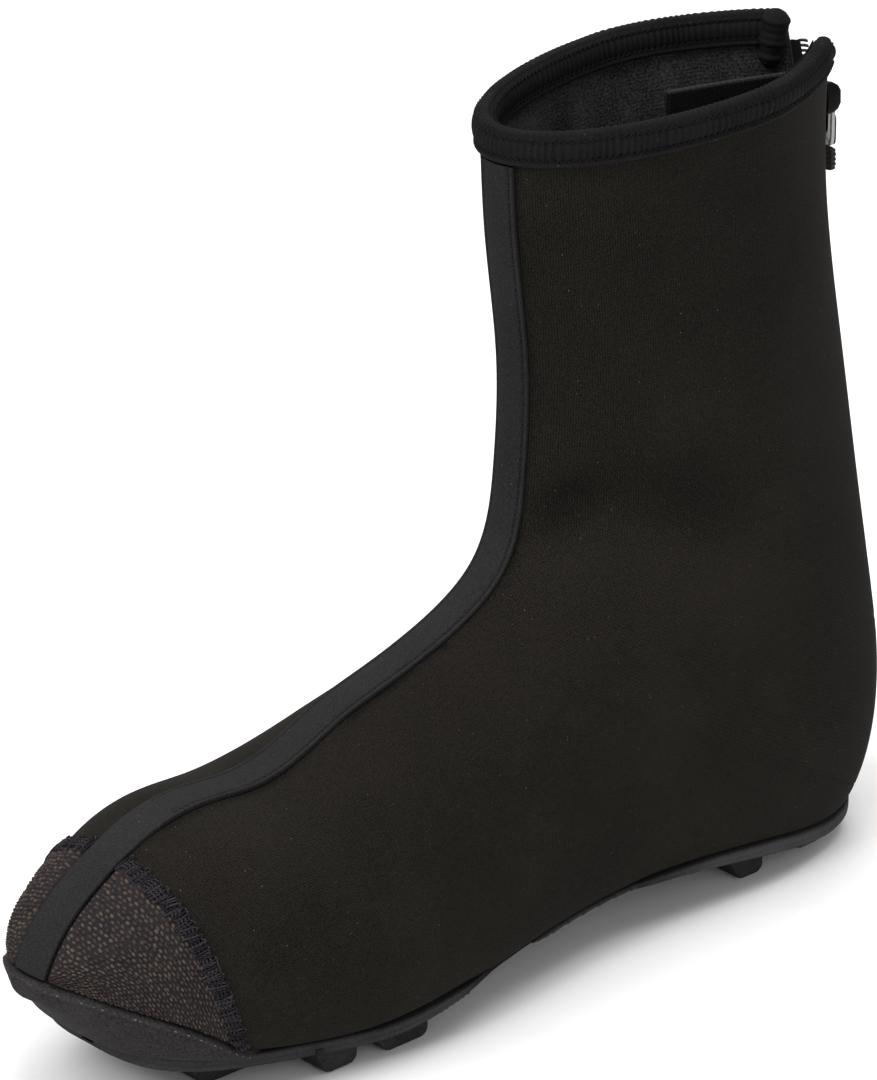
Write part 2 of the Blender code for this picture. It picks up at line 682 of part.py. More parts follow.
def lug_mesh():
    """All wedge lugs: ramp at the front, flat on the floor, rounded corner and steep rear face."""
    left, right = sole_rows()
    along = along_of(left)
    build = bmesh.new()
    for lug in LUGS:
        centre_along = (lug.front + lug.rear) / 2.0
        edge_left = np.interp(centre_along, along, left[:, 0])
        edge_right = np.interp(centre_along, along, right[:, 0])
        middle = (edge_left + edge_right) / 2.0 + lug.across * (edge_left - edge_right) / 2.0
        tops = [profile_at(SOLE_UNDER, np.array(a)) + LUG_ROOT for a in (lug.front, lug.flat, lug.rear)]
        outline = [
            (lug.front, float(tops[0])),
            (lug.front, float(tops[0]) - LUG_ROOT - LUG_STEP),
            (lug.flat, 0.0),
        ]
        for turn in np.linspace(0.0, 0.5 * np.pi, LUG_CORNER_STEPS):
            behind = LUG_CORNER * (1.0 - np.sin(turn)) / LENGTH
            outline.append((lug.rear + behind, LUG_CORNER * (1.0 - np.cos(turn))))
        outline.append((lug.rear, float(tops[2])))
        outline.append((lug.flat, float(tops[1])))
        sides = []
        for side in (-0.5, 0.5):
            corners = [(middle + side * lug.width, HEEL_Y - a * LENGTH, z) for a, z in outline]
            sides.append([build.verts.new(np.array(c) * MM) for c in corners])
        count = len(outline)
        build.faces.new(sides[0])
        build.faces.new(sides[1][::-1])
        for i in range(count):
            k = (i + 1) % count
            build.faces.new((sides[0][k], sides[0][i], sides[1][i], sides[1][k]))
    bmesh.ops.recalc_face_normals(build, faces=build.faces)
    mesh = bpy.data.meshes.new("sole_lugs")
    build.to_mesh(mesh)
    build.free()
    return mesh


def main():
    """Build every piece of the overshoe in one frame."""
    for item in list(bpy.data.objects):
        bpy.data.objects.remove(item, do_unlink=True)
    shoe = bpy.data.collections.new("neoprene_overshoe")
    cutters = bpy.data.collections.new("cutters")
    for collection in (shoe, cutters):
        bpy.context.scene.collection.children.link(collection)
    build_upper(shoe)
    build_outsole(shoe, cutters)
    build_tape(shoe)
    build_patch(shoe, "toe_patch_left", 1.0)
    build_patch(shoe, "toe_patch_right", -1.0)
    build_bumper(shoe)
    build_binding(shoe)
    build_zip(shoe)
    build_slider(shoe)
    build_pull(shoe)
    build_flap(shoe)


main()
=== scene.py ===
"""Looks of a left neoprene overshoe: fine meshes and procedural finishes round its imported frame."""

import logging
import math
from dataclasses import dataclass, field
from enum import Enum
from typing import Callable, Sequence

import bmesh
import bpy
import numpy as np
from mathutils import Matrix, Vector


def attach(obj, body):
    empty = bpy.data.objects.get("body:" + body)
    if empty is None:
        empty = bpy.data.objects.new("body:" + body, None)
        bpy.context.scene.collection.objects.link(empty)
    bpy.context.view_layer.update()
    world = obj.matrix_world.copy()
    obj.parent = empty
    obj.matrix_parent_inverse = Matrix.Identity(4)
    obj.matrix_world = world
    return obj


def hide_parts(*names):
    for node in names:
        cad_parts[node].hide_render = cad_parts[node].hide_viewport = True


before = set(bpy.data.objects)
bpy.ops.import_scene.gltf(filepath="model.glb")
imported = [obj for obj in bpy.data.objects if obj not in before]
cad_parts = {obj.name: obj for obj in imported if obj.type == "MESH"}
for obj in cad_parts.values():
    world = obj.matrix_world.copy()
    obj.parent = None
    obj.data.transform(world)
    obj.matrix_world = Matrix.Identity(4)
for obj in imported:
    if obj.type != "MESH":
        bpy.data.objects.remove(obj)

LOG = logging.getLogger("overshoe")
MM = 0.001
Colour = tuple[float, float, float]
Array = np.ndarray
X_AXIS, Y_AXIS, Z_AXIS = np.eye(3)
EVEN_SHARE, EASED_SHARE = 0.45, 0.55


class Body(Enum):
    """CAD bodies that pieces ride on."""

    SHOE = "shoe"
    PULL = "zip_pull"


class Slot(Enum):
    """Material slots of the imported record."""

    NEOPRENE = "neoprene"
    TAPE = "seam_tape"
    PATCH = "toe_patch"
    BUMPER = "bumper"
    SOLE = "sole"
    BINDING = "binding"
    ZIP = "zip"
    SLIDER = "slider"
    PULL = "pull"
    GRIP = "grip"
    FLAP = "flap"


class Weave(Enum):
    """Surface patterns that run along a piece's own UV map, in millimetres."""

    NONE = "none"
    KNIT = "knit"
    TWILL = "twill"
    BASKET = "basket"
    ROWS = "rows"


def smooth(low: float, high: float, value: Array) -> Array:
    """Smooth step from 0 at low to 1 at high."""
    share = np.clip((np.asarray(value, float) - low) / (high - low), 0.0, 1.0)
    return share * share * (3.0 - 2.0 * share)


def hump(value: Array, middle: float, width: float) -> Array:
    """Bell curve of height 1 round a middle."""
    return np.exp(-(((np.asarray(value, float) - middle) / width) ** 2))


def unit(vectors: Array) -> Array:
    """Vectors scaled to length 1."""
    return vectors / np.maximum(np.linalg.norm(vectors, axis=-1, keepdims=True), 1e-12)


def arc_of(points: Array, axis: int) -> Array:
    """Running length along one axis of a grid of points.

    Args:
        points: Grid of points, with coordinates on its last axis.
        axis: Grid axis to measure along.

    Returns:
        Length from the first point, in the points' unit.
    """
    steps = np.linalg.norm(np.diff(points, axis=axis), axis=-1)
    arc = np.cumsum(steps, axis=axis)
    start = np.zeros_like(np.take(arc, [0], axis=axis))
    return np.concatenate([start, arc], axis=axis)


def eased(even: Array) -> Array:
    """Even shares, gathered a little towards both ends."""
    return EVEN_SHARE * even + EASED_SHARE * (1.0 - np.cos(np.pi * even)) / 2.0


def along_line(at: Array, arc: Array, line: Array) -> Array:
    """Points of a line at running lengths.

    Args:
        at: Lengths to read.
        arc: Length at each point of the line.
        line: Points of the line.

    Returns:
        One point a length.
    """
    return np.stack([np.interp(at, arc, line[:, axis]) for axis in range(3)], axis=1)


def squared(turn: Array, power: float) -> tuple[Array, Array]:
    """Cosine and sine of a turn, pressed out towards a rounded square."""
    across, up = (np.sign(value) * np.abs(value) ** power for value in (np.cos(turn), np.sin(turn)))
    return across, up


@dataclass(frozen=True)
class Section:
    """One section of the last; along and half are shares, the rest millimetres."""

    name: str
    top_x: float
    top_along: float
    top_up: float
    low_x: float
    low_along: float
    low_up: float
    half: float
    widest: float
    square_top: float
    square_low: float

    def row(self, length: float, half_width: float) -> tuple[float, ...]:
        """The section's numbers in millimetres."""
        return (
            self.top_x, self.top_along * length, self.top_up,
            self.low_x, self.low_along * length, self.low_up,
            self.half * half_width, self.widest, self.square_top, self.square_low,
        )


@dataclass(frozen=True)
class Knot:
    """A height in millimetres, or a share, at a share of the length from the heel."""

    along: float
    up: float


SHAFT = 243.0
INSTEP = 96.0
HEEL = 45.0

SECTIONS = (
    Section("collar", 1, 0.455, 0.965 * SHAFT, 5, 0.072, 0.991 * SHAFT, 0.70, 0.45, 0.00, -0.04),
    Section("shaft_high", 1, 0.450, 0.840 * SHAFT, 5, 0.068, 0.823 * SHAFT, 0.61, 0.45, 0.00, -0.04),
    Section("shaft_low", 1, 0.4365, 0.695 * SHAFT, 5, 0.0405, 0.609 * SHAFT, 0.575, 0.45, 0.00, -0.04),
    Section("ankle", 1, 0.440, 0.565 * SHAFT, 5, 0.0095, 0.391 * SHAFT, 0.555, 0.45, 0.00, -0.02),
    Section("heel", 2, 0.471, 1.149 * INSTEP, 5, 0.002, 1.000 * HEEL, 0.66, 0.42, 0.00, 0.03),
    Section("heel_seat", 3, 0.560, 1.004 * INSTEP, 5, 0.0545, 0.090 * HEEL, 0.73, 0.38, 0.00, 0.03),
    Section("waist", 3, 0.665, 0.901 * INSTEP, 2, 0.363, 0.240 * HEEL, 0.75, 0.36, 0.00, 0.08),
    Section("ball", 1, 0.763, 0.783 * INSTEP, 0, 0.663, 0.155 * HEEL, 0.975, 0.36, 0.00, 0.09),
    Section("toe_box", 0, 0.868, 0.766 * INSTEP, -1, 0.840, 0.210 * HEEL, 0.79, 0.38, 0.01, 0.07),
    Section("toe_front", -1, 0.9455, 0.628 * INSTEP, -1, 0.9275, 0.386 * HEEL, 0.55, 0.42, 0.02, 0.06),
    Section("toe_nose", -1, 0.981, 0.515 * INSTEP, -1, 0.971, 0.705 * HEEL, 0.32, 0.45, 0.02, 0.03),
    Section("toe_tip", -1, 1.000, 0.414 * INSTEP, -1, 0.9995, 0.855 * HEEL, 0.04, 0.50, 0.00, 0.00),
)

SOLE_UNDER = (
    Knot(0.00, 7.0), Knot(0.10, 5.2), Knot(0.20, 9.8), Knot(0.30, 12.8), Knot(0.40, 13.4), Knot(0.52, 12.3),
    Knot(0.64, 9.7), Knot(0.74, 6.0), Knot(0.82, 8.0), Knot(0.88, 11.5), Knot(0.94, 15.0), Knot(1.00, 17.0),
)

SOLE_SHARE = (
    Knot(0.00, 1.00), Knot(0.20, 1.00), Knot(0.30, 0.70), Knot(0.40, 0.34), Knot(0.52, 0.30),
    Knot(0.60, 0.55), Knot(0.68, 0.95), Knot(0.80, 1.00), Knot(1.00, 1.00),
)

BUMPER_TOP = (
    Knot(0.80, 12.0), Knot(0.84, 16.0), Knot(0.87, 21.5), Knot(0.90, 27.5),
    Knot(0.94, 34.0), Knot(0.98, 40.0), Knot(1.00, 42.0),
)


@dataclass
class Last:
    """Skin of the shoe's form: place 0 at the collar to 1 at the toe, angle 0 on the ridge to pi at back and sole."""

    length: float = 300.0
    ball_width: float = 93.0
    heel_y: float = 150.5
    wall: float = 3.0
    gap: float = 0.3
    sole_thick: float = 4.0
    zip_low: float = 60.0
    zip_close: float = 2.0
    slider_up: float = 217.0
    slit_half_low: float = 4.5
    slit_half_top: float = 9.0
    places: Array = field(init=False)
    table: Array = field(init=False)

    def __post_init__(self) -> None:
        """Spread the sections by arc length and find the form's landmarks."""
        rows = [section.row(self.length, self.ball_width / 2.0) for section in SECTIONS]
        self.table = np.array(rows, float)
        top_step = np.linalg.norm(np.diff(self.table[:, 1:3], axis=0), axis=1)
        low_step = np.linalg.norm(np.diff(self.table[:, 4:6], axis=0), axis=1)
        spread = np.concatenate([[0.0], np.cumsum((top_step + low_step) / 2.0)])
        self.places = spread / spread[-1]
        low, seat = self.place_of("heel"), self.place_of("heel_seat")
        self.heel_end = float(self.bisect(lambda s: self.above_feather(s, np.pi), low, seat))
        box, nose = self.place_of("toe_box"), self.place_of("toe_nose")
        self.toe_end = float(self.bisect(lambda s: self.above_feather(s, np.pi), box, nose))
        front = self.place_of("toe_front")
        self.bumper_tip = float(self.bisect(lambda s: self.above_bumper(s, 0.0), front, 1.0))
        self.zip_end = self.place_at_up(self.zip_low, low)
        self.zip_stop = self.place_at_up(self.zip_low - self.zip_close, low)
        self.slider_place = self.place_at_up(self.slider_up, self.place_of("shaft_low"))

    @staticmethod
    def spline(knots: Array, values: Array, at: Array) -> Array:
        """Natural cubic spline through rows of values.

        Args:
            knots: Places of the rows, rising.
            values: One row of numbers a knot.
            at: Places to read, as a flat array.

        Returns:
            One row of numbers a place.
        """
        count = len(knots)
        step = np.diff(knots)
        slope = np.diff(values, axis=0) / step[:, None]
        matrix = np.zeros((count, count))
        right = np.zeros(values.shape)
        matrix[0, 0] = matrix[-1, -1] = 1.0
        for i in range(1, count - 1):
            matrix[i, i - 1 : i + 2] = (step[i - 1], 2.0 * (step[i - 1] + step[i]), step[i])
            right[i] = 6.0 * (slope[i] - slope[i - 1])
        bend = np.linalg.solve(matrix, right)
        k = np.clip(np.searchsorted(knots, at) - 1, 0, count - 2)
        p = ((at - knots[k]) / step[k])[:, None]
        q = 1.0 - p
        curve = (q**3 - q) * bend[k] + (p**3 - p) * bend[k + 1]
        return q * values[k] + p * values[k + 1] + (step[k] ** 2)[:, None] / 6.0 * curve

    @staticmethod
    def bisect(function: Callable[[Array], Array], low: Array, high: Array, steps: int = 40) -> Array:
        """Where a function changes sign.

        Args:
            function: Function of an array of places or angles.
            low: Starts of the search.
            high: Ends of the search.
            steps: Halvings.

        Returns:
            The crossing for each start.
        """
        low, high = np.array(low, float), np.array(high, float)
        first = function(low) > 0.0
        for _ in range(steps):
            middle = (low + high) / 2.0
            same = (function(middle) > 0.0) == first
            low = np.where(same, middle, low)
            high = np.where(same, high, middle)
        return (low + high) / 2.0

    def place_of(self, name: str) -> float:
        """Place of a named section."""
        return float(self.places[[section.name for section in SECTIONS].index(name)])

    def form(self, place: Array, angle: Array) -> Array:
        """Points of the skin.

        Args:
            place: Places from collar to toe.
            angle: Angles round the section, broadcast against place.

        Returns:
            Points in millimetres on a new last axis.
        """
        place, angle = np.broadcast_arrays(np.asarray(place, float), np.asarray(angle, float))
        numbers = self.spline(self.places, self.table, place.ravel()).reshape(place.shape + (-1,))
        top_x, top_along, top_up, low_x, low_along, low_up, half, widest, high, low = np.moveaxis(numbers, -1, 0)
        upper_half = np.cos(angle) >= 0.0
        square = np.where(upper_half, high, low)
        side = half * (np.sin(angle) + square * np.sin(3.0 * angle)) / (1.0 - square)
        rise = (np.cos(angle) - square * np.cos(3.0 * angle)) / (1.0 - square)
        share = np.where(upper_half, widest + (1.0 - widest) * rise, widest + widest * rise)
        x = low_x + (top_x - low_x) * share + side
        y = self.heel_y - low_along - (top_along - low_along) * share
        z = low_up + (top_up - low_up) * share
        return np.stack([x, y, z], axis=-1)

    def normal(self, place: Array, angle: Array) -> Array:
        """Outward unit normals of the skin."""
        small = 1e-3
        place, angle = np.broadcast_arrays(np.asarray(place, float), np.asarray(angle, float))
        after, before = (np.clip(place + step, 0.0, 1.0) for step in (small, -small))
        ahead = self.form(after, angle) - self.form(before, angle)
        return unit(np.cross(ahead, self.form(place, angle + small) - self.form(place, angle - small)))

    def skin(self, place: Array, angle: Array, out: Array = 0.0) -> Array:
        """Points moved out along the skin's normal, in millimetres."""
        return self.form(place, angle) + self.normal(place, angle) * np.asarray(out, float)[..., None]

    def profile(self, knots: tuple[Knot, ...], along: Array) -> Array:
        """Height of a profile at shares of the length."""
        heights = np.array([[knot.up] for knot in knots])
        found = self.spline(np.array([knot.along for knot in knots]), heights, np.ravel(along))
        return found[:, 0].reshape(np.shape(along))

    def along_of(self, points: Array) -> Array:
        """Share of the length from the heel's back."""
        return (self.heel_y - points[..., 1]) / self.length

    def feather_height(self, along: Array) -> Array:
        """Height of the upper's lower edge."""
        return self.profile(SOLE_UNDER, along) + self.sole_thick + self.gap

    def above_feather(self, place: Array, angle: Array) -> Array:
        """Height above the upper's lower edge."""
        points = self.form(place, angle)
        return points[..., 2] - self.feather_height(self.along_of(points))

    def above_bumper(self, place: Array, angle: Array) -> Array:
        """Height above the toe bumper's top edge."""
        points = self.form(place, angle)
        return points[..., 2] - self.profile(BUMPER_TOP, self.along_of(points))

    def feather_angle(self, place: Array) -> Array:
        """Angle of the upper's lower edge at places along the foot."""
        place = np.asarray(place, float)
        start = np.full(place.shape, 0.5 * np.pi)
        found = self.bisect(lambda psi: self.above_feather(place, psi), start, np.full(place.shape, np.pi))
        return np.where((place <= self.heel_end) | (place >= self.toe_end), np.pi, found)

    def bumper_angle(self, place: Array) -> Array:
        """Angle of the bumper's top edge at places behind its tip."""
        place = np.asarray(place, float)
        start, stop = np.zeros(place.shape), self.feather_angle(place)
        found = self.bisect(lambda psi: self.above_bumper(place, psi), start, stop)
        return np.where(place >= self.bumper_tip, 0.0, found)

    def place_at_up(self, up: float, high: float) -> float:
        """Place where the back line has a given height."""
        return float(self.bisect(lambda s: self.form(s, np.pi)[..., 2] - up, 0.0, high))

    def angle_at(self, place: Array, reach: Array, start: float = 0.0, samples: int = 60) -> Array:
        """Turn from a start angle that covers a length of arc.

        Args:
            place: Places along the form.
            reach: Lengths of arc in millimetres, broadcast against place.
            start: Angle to turn from.
            samples: Steps of the measured arc.

        Returns:
            The turns, in radians.
        """
        place, reach = np.broadcast_arrays(np.asarray(place, float), np.asarray(reach, float))
        turn = np.linspace(0.0, 0.5 * np.pi, samples)
        arc = arc_of(self.form(place.reshape(-1, 1), start + turn[None, :]), 1)
        found = [np.interp(length, row, turn) for length, row in zip(reach.ravel(), arc)]
        return np.array(found).reshape(place.shape)

    def places_down(self, depths: Array, angles: Array, reach: float = 0.12, samples: int = 90) -> Array:
        """Places at lengths of arc below the collar.

        Args:
            depths: Lengths in millimetres.
            angles: Angles round the collar.
            reach: Furthest place measured.
            samples: Steps of the measured arc.

        Returns:
            Places, one row a depth and one column an angle.
        """
        places = np.linspace(0.0, reach, samples)
        arc = arc_of(self.form(places[:, None], np.asarray(angles)[None, :]), 0)
        return np.stack([np.interp(depths, arc[:, j], places) for j in range(arc.shape[1])], axis=1)

    def places_at(self, depths: Array, angles: Array) -> Array:
        """Place of each length of arc below the collar, at its own angle."""
        pairs = zip(np.asarray(depths, float), np.asarray(angles, float))
        return np.array([self.places_down(np.array([depth]), np.array([angle]))[0, 0] for depth, angle in pairs])

    def places_by_arc(self, angle: float, first: float, last: float, pitch: float) -> Array:
        """Places an even length of arc apart along one angle.

        Args:
            angle: Angle of the line.
            first: First place.
            last: Last place.
            pitch: Length between places, in millimetres.

        Returns:
            The places.
        """
        places = np.linspace(first, last, 400)
        arc = arc_of(self.form(places, angle), 0)
        return np.interp(np.arange(0.0, arc[-1], pitch), arc, places)

    def per_mm(self, place: Array, angle: Array) -> Array:
        """Change of place that moves one millimetre towards the toe."""
        small = 1e-3
        step = np.linalg.norm(self.form(place + small, angle) - self.form(place - small, angle), axis=-1)
        return 2.0 * small / step

    def droop(self, points: Array, drop: float = 6.0, reach: float = 6.5) -> Array:
        """Points near the collar's outer back corner, let down a little.

        Args:
            points: Points in millimetres.
            drop: Most that a point comes down.
            reach: Distance over which the drop fades.

        Returns:
            The moved points.
        """
        corner = self.form(0.0, np.pi - float(self.angle_at(0.0, self.slit_half_top, np.pi)))
        gap = np.linalg.norm(points - corner, axis=-1)
        return points - (drop * np.exp(-((gap / reach) ** 2)))[..., None] * Z_AXIS

    def slit_half(self, place: Array) -> Array:
        """Half width of the back slit, opening above the slider."""
        opening = np.clip(1.0 - np.asarray(place, float) / self.slider_place, 0.0, 1.0)
        return self.slit_half_low + (self.slit_half_top - self.slit_half_low) * opening


class NodeKit:
    """Shorthand for one shader tree."""

    def __init__(self, tree: bpy.types.NodeTree) -> None:
        """Work in a tree."""
        self.tree = tree

    def add(self, kind: str, **settings: object) -> bpy.types.Node:
        """A new node with its settings."""
        node = self.tree.nodes.new(kind)
        for name, value in settings.items():
            setattr(node, name, value)
        return node

    def put(self, socket: bpy.types.NodeSocket, value: object) -> None:
        """Link a socket, or set its value."""
        if isinstance(value, bpy.types.NodeSocket):
            self.tree.links.new(value, socket)
        else:
            socket.default_value = value

    def math(self, operation: str, first: object, second: object = 0.0, clamp: bool = False) -> bpy.types.NodeSocket:
        """Result of a sum on sockets or numbers.

        Args:
            operation: Name of the Math node's operation.
            first: First socket or number.
            second: Second socket or number.
            clamp: Keep the result between 0 and 1.

        Returns:
            The result's socket.
        """
        node = self.add("ShaderNodeMath", operation=operation, use_clamp=clamp)
        self.put(node.inputs[0], first)
        self.put(node.inputs[1], second)
        return node.outputs[0]

    def mix(self, share: object, first: object, second: object) -> bpy.types.NodeSocket:
        """Mixed colour of two sockets or colours."""
        node = self.add("ShaderNodeMix", data_type="RGBA")
        self.put(node.inputs[0], share)
        self.put(node.inputs[6], first)
        self.put(node.inputs[7], second)
        return node.outputs[2]


class Effects:
    """Shared shader groups: grain, lint and weaves. They give out values only."""

    made: dict[str, bpy.types.NodeTree] = {}

    @classmethod
    def group(cls, name: str, inputs: dict[str, float], outputs: tuple[str, ...]) -> tuple[NodeKit, dict, dict]:
        """A new group with float sockets.

        Args:
            name: Name of the group.
            inputs: Input names with their defaults.
            outputs: Output names.

        Returns:
            The node kit, the input sockets and the output sockets by name.
        """
        tree = bpy.data.node_groups.new(name, "ShaderNodeTree")
        for label, value in inputs.items():
            socket = tree.interface.new_socket(label, in_out="INPUT", socket_type="NodeSocketFloat")
            socket.default_value = value
        for label in outputs:
            tree.interface.new_socket(label, in_out="OUTPUT", socket_type="NodeSocketFloat")
        kit = NodeKit(tree)
        given = kit.add("NodeGroupInput").outputs
        taken = kit.add("NodeGroupOutput").inputs
        cls.made[name] = tree
        return kit, {label: given[label] for label in inputs}, {label: taken[label] for label in outputs}

    @classmethod
    def grain(cls) -> bpy.types.NodeTree:
        """Fine fibre or pore relief, with a broad change of tone."""
        if "grain" not in cls.made:
            kit, given, taken = cls.group("grain", {"Scale": 1500.0, "Broad": 60.0}, ("Height", "Tone"))
            where = kit.add("ShaderNodeTexCoord").outputs["Object"]
            for scale, detail, label in (("Scale", 4.0, "Height"), ("Broad", 3.0, "Tone")):
                noise = kit.add("ShaderNodeTexNoise")
                kit.put(noise.inputs["Vector"], where)
                kit.put(noise.inputs["Scale"], given[scale])
                noise.inputs["Detail"].default_value = detail
                kit.put(taken[label], noise.outputs[0])
        return cls.made["grain"]

    @classmethod
    def lint(cls) -> bpy.types.NodeTree:
        """Sparse pale specks of lint and dust."""
        if "lint" not in cls.made:
            kit, given, taken = cls.group("lint", {"Density": 0.1, "Scale": 520.0, "Size": 0.075}, ("Mask",))
            where = kit.add("ShaderNodeTexCoord").outputs["Object"]
            cells = kit.add("ShaderNodeTexVoronoi")
            kit.put(cells.inputs["Vector"], where)
            kit.put(cells.inputs["Scale"], given["Scale"])
            chance = kit.add("ShaderNodeSeparateColor")
            kit.put(chance.inputs[0], cells.outputs["Color"])
            small = kit.math("LESS_THAN", cells.outputs["Distance"], given["Size"])
            rare = kit.math("LESS_THAN", chance.outputs[0], given["Density"])
            kit.put(taken["Mask"], kit.math("MULTIPLY", small, kit.math("MULTIPLY", rare, chance.outputs[1])))
        return cls.made["lint"]

    @classmethod
    def weave(cls, kind: Weave) -> bpy.types.NodeTree:
        """Height of a pattern over the UV map in millimetres.

        Args:
            kind: Pattern to draw.

        Returns:
            The shader group.
        """
        if kind.value in cls.made:
            return cls.made[kind.value]
        kit, given, taken = cls.group(kind.value, {"PitchU": 1.0, "PitchV": 1.0}, ("Height",))
        split = kit.add("ShaderNodeSeparateXYZ")
        kit.put(split.inputs[0], kit.add("ShaderNodeTexCoord").outputs["UV"])
        u = kit.math("DIVIDE", split.outputs[0], given["PitchU"])
        v = kit.math("DIVIDE", split.outputs[1], given["PitchV"])
        turn = 2.0 * math.pi
        if kind is Weave.TWILL:
            wave = kit.math("SINE", kit.math("MULTIPLY", kit.math("ADD", u, v), turn))
            height = kit.math("MULTIPLY_ADD", wave, 0.5)
        elif kind is Weave.ROWS:
            sway = kit.math("MULTIPLY", kit.math("SINE", kit.math("MULTIPLY", u, turn)), 0.12)
            height = kit.math("ABSOLUTE", kit.math("SINE", kit.math("MULTIPLY", kit.math("ADD", v, sway), math.pi)))
        elif kind is Weave.BASKET:
            across = kit.math("SINE", kit.math("MULTIPLY", u, turn))
            down = kit.math("SINE", kit.math("MULTIPLY", v, turn))
            height = kit.math("MULTIPLY", kit.math("ADD", kit.math("MULTIPLY", across, down), 1.0), 0.5)
        else:
            column = kit.math("ABSOLUTE", kit.math("SINE", kit.math("MULTIPLY", u, math.pi)))
            shift = kit.math("MULTIPLY", kit.math("FLOOR", u), math.pi)
            loop = kit.math("SINE", kit.math("ADD", kit.math("MULTIPLY", v, turn), shift))
            height = kit.math("MULTIPLY", column, kit.math("ADD", kit.math("MULTIPLY", loop, 0.3), 0.7))
        kit.put(taken["Height"], height)
        return cls.made[kind.value]


@dataclass(frozen=True)
class Finish:
    """A procedural finish: two colours mixed by a piece's tone, its weave, its grain and its blotches."""

    name: str
    dark: Colour
    light: Colour
    rough: float = 0.85
    weave: Weave = Weave.NONE
    pitch: tuple[float, float] = (1.0, 1.0)
    weave_depth: float = 0.05
    weave_tint: float = 0.25
    grain: float = 1500.0
    grain_depth: float = 0.05
    grain_tint: float = 0.3
    blotch: float = 60.0
    blotch_tint: float = 0.25
    lint: float = 0.0
    lint_colour: Colour = (0.11, 0.105, 0.10)
    sheen: float = 0.0
    coat: float = 0.0
    metallic: float = 0.0
    specular: float = 0.07

    def material(self) -> bpy.types.Material:
        """Principled material with this finish's nodes.

        Returns:
            The material, made once and kept by name.
        """
        found = bpy.data.materials.get(self.name)
        if found is not None:
            return found
        material = bpy.data.materials.new(self.name)
        material.use_nodes = True
        kit = NodeKit(material.node_tree)
        shader = material.node_tree.nodes["Principled BSDF"]
        # The tone attribute carries each piece's own colour shifts and also its painted shade and highlights.
        tone = kit.add("ShaderNodeAttribute", attribute_name="tone").outputs["Fac"]
        grain = kit.add("ShaderNodeGroup", node_tree=Effects.grain())
        grain.inputs["Scale"].default_value = self.grain
        grain.inputs["Broad"].default_value = self.blotch
        height = kit.math("MULTIPLY", grain.outputs["Height"], self.grain_depth)
        share = self.shifted(kit, tone, grain.outputs["Height"], self.grain_tint)
        share = self.shifted(kit, share, grain.outputs["Tone"], self.blotch_tint)
        if self.weave is not Weave.NONE:
            weave = kit.add("ShaderNodeGroup", node_tree=Effects.weave(self.weave))
            weave.inputs["PitchU"].default_value, weave.inputs["PitchV"].default_value = self.pitch
            share = self.shifted(kit, share, weave.outputs["Height"], self.weave_tint)
            height = kit.math("ADD", height, kit.math("MULTIPLY", weave.outputs["Height"], self.weave_depth))
        share = kit.math("ADD", share, 0.0, clamp=True)
        colour = kit.mix(share, (*self.dark, 1.0), (*self.light, 1.0))
        if self.lint > 0.0:
            lint = kit.add("ShaderNodeGroup", node_tree=Effects.lint())
            lint.inputs["Density"].default_value = self.lint
            colour = kit.mix(lint.outputs["Mask"], colour, (*self.lint_colour, 1.0))
        kit.put(shader.inputs["Base Color"], colour)
        rough = kit.math("ADD", kit.math("MULTIPLY", grain.outputs["Height"], 0.16), self.rough - 0.08, clamp=True)
        kit.put(shader.inputs["Roughness"], rough)
        bump = kit.add("ShaderNodeBump")
        bump.inputs["Distance"].default_value = MM
        kit.put(bump.inputs["Height"], height)
        kit.put(shader.inputs["Normal"], bump.outputs[0])
        shader.inputs["Sheen Weight"].default_value = self.sheen
        shader.inputs["Coat Weight"].default_value = self.coat
        shader.inputs["Metallic"].default_value = self.metallic
        shader.inputs["Specular IOR Level"].default_value = self.specular
        return material

    @staticmethod
    def shifted(kit: NodeKit, share: object, pattern: object, amount: float) -> bpy.types.NodeSocket:
        """A share moved up or down by a pattern round one half."""
        return kit.math("ADD", share, kit.math("MULTIPLY", kit.math("SUBTRACT", pattern, 0.5), amount))


NEOPRENE = Finish(
    "neoprene_knit", (0.0030, 0.0026, 0.0019), (0.0183, 0.0157, 0.0126), 0.92, Weave.KNIT, (0.75, 0.8), 0.05, 0.55,
    grain=2700.0, grain_depth=0.08, grain_tint=2.5, blotch=26.0, blotch_tint=0.55, lint=0.30,
)
LINING = Finish(
    "brushed_lining", (0.0040, 0.0038, 0.0042), (0.053, 0.0500, 0.053), 0.95, Weave.ROWS, (9.0, 1.1), 0.05, 0.14,
    grain=1700.0, grain_depth=0.22, grain_tint=2.4, blotch=110.0, blotch_tint=0.8, lint=0.45, sheen=0.05,
)
TAPE_CLOTH = Finish(
    "tape_twill", (0.0040, 0.0038, 0.0038), (0.0250, 0.0240, 0.0242), 0.88, Weave.TWILL, (0.5, 0.5), 0.03, 0.20,
    grain=2300.0, grain_depth=0.05, grain_tint=1.7, blotch=30.0, blotch_tint=0.4, lint=0.20,
)
NUB_CLOTH = Finish(
    "nub_cloth", (0.0138, 0.0126, 0.0156), (0.088, 0.065, 0.050), 0.9,
    grain=2400.0, grain_depth=0.12, grain_tint=0.42, blotch=90.0, blotch_tint=0.25, lint=0.10,
)
OVERCAST = Finish(
    "overcast_thread", (0.0066, 0.0064, 0.0085), (0.052, 0.046, 0.052), 0.88, Weave.TWILL, (0.5, 0.5), 0.05, 0.4,
    grain=2200.0, grain_tint=0.8, grain_depth=0.1,
)
BUMPER_RUBBER = Finish(
    "napped_rubber", (0.0054, 0.0050, 0.0053), (0.0385, 0.0350, 0.0365), 0.86,
    grain=1500.0, grain_depth=0.16, grain_tint=1.7, blotch=120.0, blotch_tint=0.6, lint=0.24,
)
PALE_THREAD = Finish("pale_thread", (0.030, 0.031, 0.033), (0.19, 0.20, 0.21), 0.7, grain_tint=0.5)
